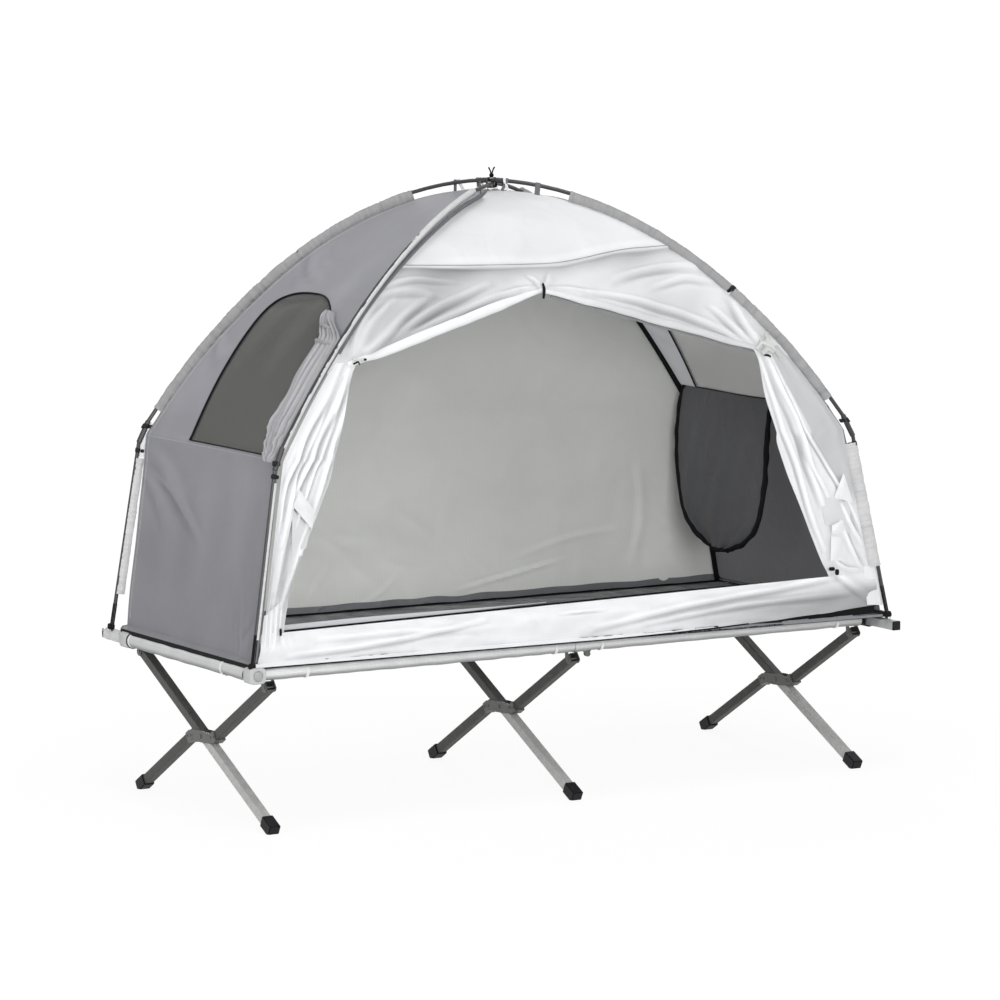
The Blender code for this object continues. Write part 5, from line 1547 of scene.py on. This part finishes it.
def add_stitches(shape, path):
    """Row of short threads along a path: each is two rings of quads between three thin pentagons."""
    step = 0.0065
    length = 0.0042
    radius = 0.00055
    knots = np.r_[0, np.cumsum(np.linalg.norm(np.diff(path, axis=0), axis=-1))]
    starts = np.arange(0, knots[-1] - length, step)
    spots = starts[:, None] + np.array([0, 0.5, 1]) * length
    points = np.stack([np.interp(spots, knots, path[:, axis]) for axis in range(3)], -1)
    _, first, second = path_frames(points.reshape(-1, 3), (0.3, 0.5, 1))
    angle = np.arange(5) * 2 * math.pi / 5
    swell = np.tile([0.3, 1.0, 0.3], len(starts))[:, None, None] * radius
    ring = (first[:, None] * np.cos(angle)[:, None] + second[:, None] * np.sin(angle)[:, None]) * swell
    points = (points.reshape(-1, 1, 3) + ring).reshape(-1, 3)
    index = np.arange(10).reshape(2, 5)
    after = np.roll(index, -1, axis=1)
    faces = np.stack([index, after, after + 5, index + 5], -1).reshape(-1, 4)
    every = (np.arange(len(starts)) * 15)[:, None, None]
    shape.add(points, (faces[None] + every).reshape(-1, 4))


def make_seam_stitches():
    """Rows of threads beside the seams of the roof, the back, the door, the windows and the end corners."""
    thread_lift = 0.0012
    shape = Shape()
    across = np.linspace(-0.985, 0.985, 400)
    for share in (roof_seam(across) + 0.0035, roof_seam(across) + 0.0060):
        add_stitches(shape, wall("front", across, share, canopy_form(across, share)[0] + thread_lift))
    for share in (seam_back + 0.003, seam_back - 0.003):
        add_stitches(shape, wall("back", across, share, thread_lift + back_push(across, share)))
    across = np.linspace(-0.92, 0.92, 400)
    share = door_top(across) + 0.010
    add_stitches(shape, wall("front", across, share, canopy_form(across, share)[0] + thread_lift))
    across = np.linspace(-0.98, 0.98, 200)
    shares = np.linspace(0.02, 0.80, 300)
    for kind in ("left", "right"):
        share = share_at(seams[kind]) - 0.003
        add_stitches(shape, wall(kind, across, share, end_push(kind, across, share) + thread_lift))
        for side in (-1, 1):
            stops = side * (1 - 0.017 / wall_width(kind, shares))
            add_stitches(shape, wall(kind, stops, shares, end_push(kind, stops, shares) + thread_lift))
    make_piece("seam_stitches", shape, [looks["cord"]], "tent")


make_door_ties()
make_seam_ridges()
make_seam_stitches()

# Cloth and sleeves of the cot
rail_ends = {"left": -1, "right": 1}
rail_sides = {"front": -1, "back": 1}
front_bodies = {"left": "front_rail", "right": "front_rail_right"}
back_bodies = {"left": "back_rail", "right": "back_rail_right"}
sleeve_cloth = 0.0014
sleeve_start = 0.0004
ring_width = 0.008
bar_sleeve_margin = 0.0215
round_way = np.linspace(0, 2 * math.pi, 25)[None, :]


def deck_squash(piece):
    """Give a cloth its own copy of its mesh."""
    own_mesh(piece)


def make_deck(name):
    """Half of the bed cloth: a sheet that sags by 1 less the square of its place between the rails."""
    sag_depth = 0.004
    edge_depth = 0.0008
    end = rail_ends[name]
    x = np.linspace(sleeve_start, bed_end, 91)[None, :] * end
    y = np.linspace(-half_spacing, half_spacing, 81)[:, None]
    sag = -sag_depth * (1 - (y / half_spacing) ** 2) - 0.0008 * np.abs(waves(x, y, 0.25, 201))
    edge_drop = -edge_depth * smooth_step(0.335, 0.352, np.abs(y))
    grid = np.stack(np.broadcast_arrays(x, y, rail_height + bed_top - 0.001 + sag + edge_drop), -1)
    shape = Shape()
    add_sheet(shape, grid, outside=-end)
    deck = make_piece("deck_" + name, shape, [looks["bed"]], front_bodies[name], ["bed_cloth"])
    deck_squash(deck)


def uneven(steps, radius, swell, size, seed):
    """Radius of a sleeve: an even one with waves along it and round it."""
    return radius + swell * waves(steps[:, None], np.sin(round_way) * 0.02, size, seed)


def painted_under_shade(top, side, foot, start):
    """Painted light round a sleeve: the top tone on its upper side, painted shade at its sides and much more
    below, by smooth steps of the sine.
    """
    turn = np.sin(round_way)
    return top - side * smooth_step(0.9, 0.1, turn) - foot * smooth_step(start, -0.8, turn)


def make_rail_sleeve(side_name, name, body):
    """Sleeve of one rail: points at an uneven radius round the rail."""
    side, end = rail_sides[side_name], rail_ends[name]
    x = np.linspace(sleeve_start, bed_end, 180) * end
    radius = uneven(x, 0.0148, 0.0007, 0.09, 211 + end)
    y = side * half_spacing + radius * np.cos(round_way)
    grid = np.stack(np.broadcast_arrays(x[:, None], y, rail_height + radius * np.sin(round_way)), -1)
    shape = Shape()
    # Painted light: a highlight on top, painted shade at the sides and below.
    add_sheet(shape, grid, sleeve_cloth, outside=-end, tone=painted_under_shade(1.30, 0.16, 0.70, 0.05))
    sleeve = make_piece("rail_sleeve_" + side_name + "_" + name, shape, [looks["edge"]], body)


def make_rail_rings(side_name, name, body):
    """Two white rings on a rail: short pipes."""
    side, end = rail_sides[side_name], rail_ends[name]
    shape = Shape()
    for start in ((0.055, 0.800) if end < 0 else (0.080, 0.842)):
        x = end * np.linspace(start, start + ring_width, 4)
        path = np.stack([x, np.full(4, side * half_spacing), np.full(4, rail_height)], -1)
        add_pipe(shape, path, 0.0170, 0.0158)
    make_piece("rail_rings_" + side_name + "_" + name, shape, [looks["ring"]], body)


def make_joint_cover(side_name, body):
    """Grey cover of a left corner joint with a black ring on its inner side."""
    ring_radius = 0.0206
    side = rail_sides[side_name]
    shape = Shape()
    centre = (-bar_distance, side * half_spacing, rail_height)
    add_collar(shape, centre, (0.0232, 0.0213, 0.0210), 0.0134, 0.80)
    angle = np.linspace(0, 2 * math.pi, 32, endpoint=False)[:, None]
    ring = np.array([-bar_distance, side * (half_spacing - 0.0228), rail_height])
    ring = ring + ring_radius * (np.cos(angle) * np.array([1, 0, 0]) + np.sin(angle) * np.array([0, 0, 1]))
    add_tube(shape, ring, 0.0026, 8, side=(0, 1, 0), closed=True, number=1)
    make_piece("joint_cover_" + side_name + "_left", shape, [looks["edge"], looks["black"]], body)


def bar_grid(end, y, radius):
    """Points at a radius round an end bar."""
    x = end * bar_distance + radius * np.cos(round_way)
    return np.stack(np.broadcast_arrays(x, y[:, None], rail_height + radius * np.sin(round_way)), -1)


def make_bar_sleeve(name):
    """Sleeve of an end bar between its joints, with two rings."""
    end = rail_ends[name]
    reach = half_spacing - 0.0195
    y = np.linspace(-reach, reach, 120)
    shape = Shape()
    # Painted shade at the sides and below the bar.
    add_sheet(shape, bar_grid(end, y, uneven(y, 0.0188, 0.0006, 0.09, 231 + end)), sleeve_cloth,
              tone=painted_under_shade(1.06, 0.12, 0.58, 0.0))
    sleeve = make_piece("bar_sleeve_" + name, shape, [looks["edge"]], front_bodies[name],
                        ["end_sleeve_" + name])
    shape = Shape()
    for start in (-0.208, 0.322):
        y = np.linspace(start, start + ring_width, 4)
        path = np.stack([np.full(4, end * bar_distance), y, np.full(4, rail_height)], -1)
        add_pipe(shape, path, 0.0209, 0.0197)
    rings = make_piece("bar_rings_" + name, shape, [looks["ring"]], front_bodies[name])
    deck_squash(sleeve)
    deck_squash(rings)


def make_bar_end():
    """Sleeve on the free end of the left bar, and the bar's end plugs."""
    start = half_spacing + bar_sleeve_margin
    y = np.linspace(start, 0.484, 40)
    shape = Shape()
    add_sheet(shape, bar_grid(-1, y, uneven(y, 0.0158, 0.0005, 0.05, 241)), sleeve_cloth)
    sleeve = make_piece("bar_end_sleeve_left", shape, [looks["edge"]], "back_rail")
    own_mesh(sleeve)
    shape = Shape()
    path = np.array([(-bar_distance, y, rail_height) for y in (0.4885, 0.492, 0.4968)])
    add_pipe(shape, path, 0.0137, 0.0128)
    path = np.array([(-bar_distance, y, rail_height) for y in (-0.3785, -0.3782, -0.3770, -0.3750, -0.3672)])
    add_tube(shape, path, np.array([0.006, 0.0095, 0.0118, 0.0127, 0.0127]), 28, number=1, tone=0.62)
    make_piece("bar_end_plugs_left", shape, [looks["black"], looks["edge"]], "end_bar_left")


for name in rail_ends:
    make_deck(name)
for side_name, bodies in (("front", front_bodies), ("back", back_bodies)):
    for name, body in bodies.items():
        make_rail_sleeve(side_name, name, body)
        make_rail_rings(side_name, name, body)
        if name == "left":
            make_joint_cover(side_name, body)
for name in rail_ends:
    make_bar_sleeve(name)
make_bar_end()

# Finishes of the hard parts, by the start of their names
finishes = (("rail_", "rail"), ("end_bar", "rail"), ("leg_bracket", "bracket"), ("leg_whole", "whole"),
            ("leg_", "leg"), ("hinge", "bracket"), ("cross", "bracket"), ("corner", "black"),
            ("foot", "black"), ("bar_cap", "black"), ("apex", "tape"), ("pole", "pole"))
for name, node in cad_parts.items():
    look = next((look for start, look in finishes if name.startswith(start)), None)
    if look:
        for slot in node.material_slots:
            slot.material = looks[look]
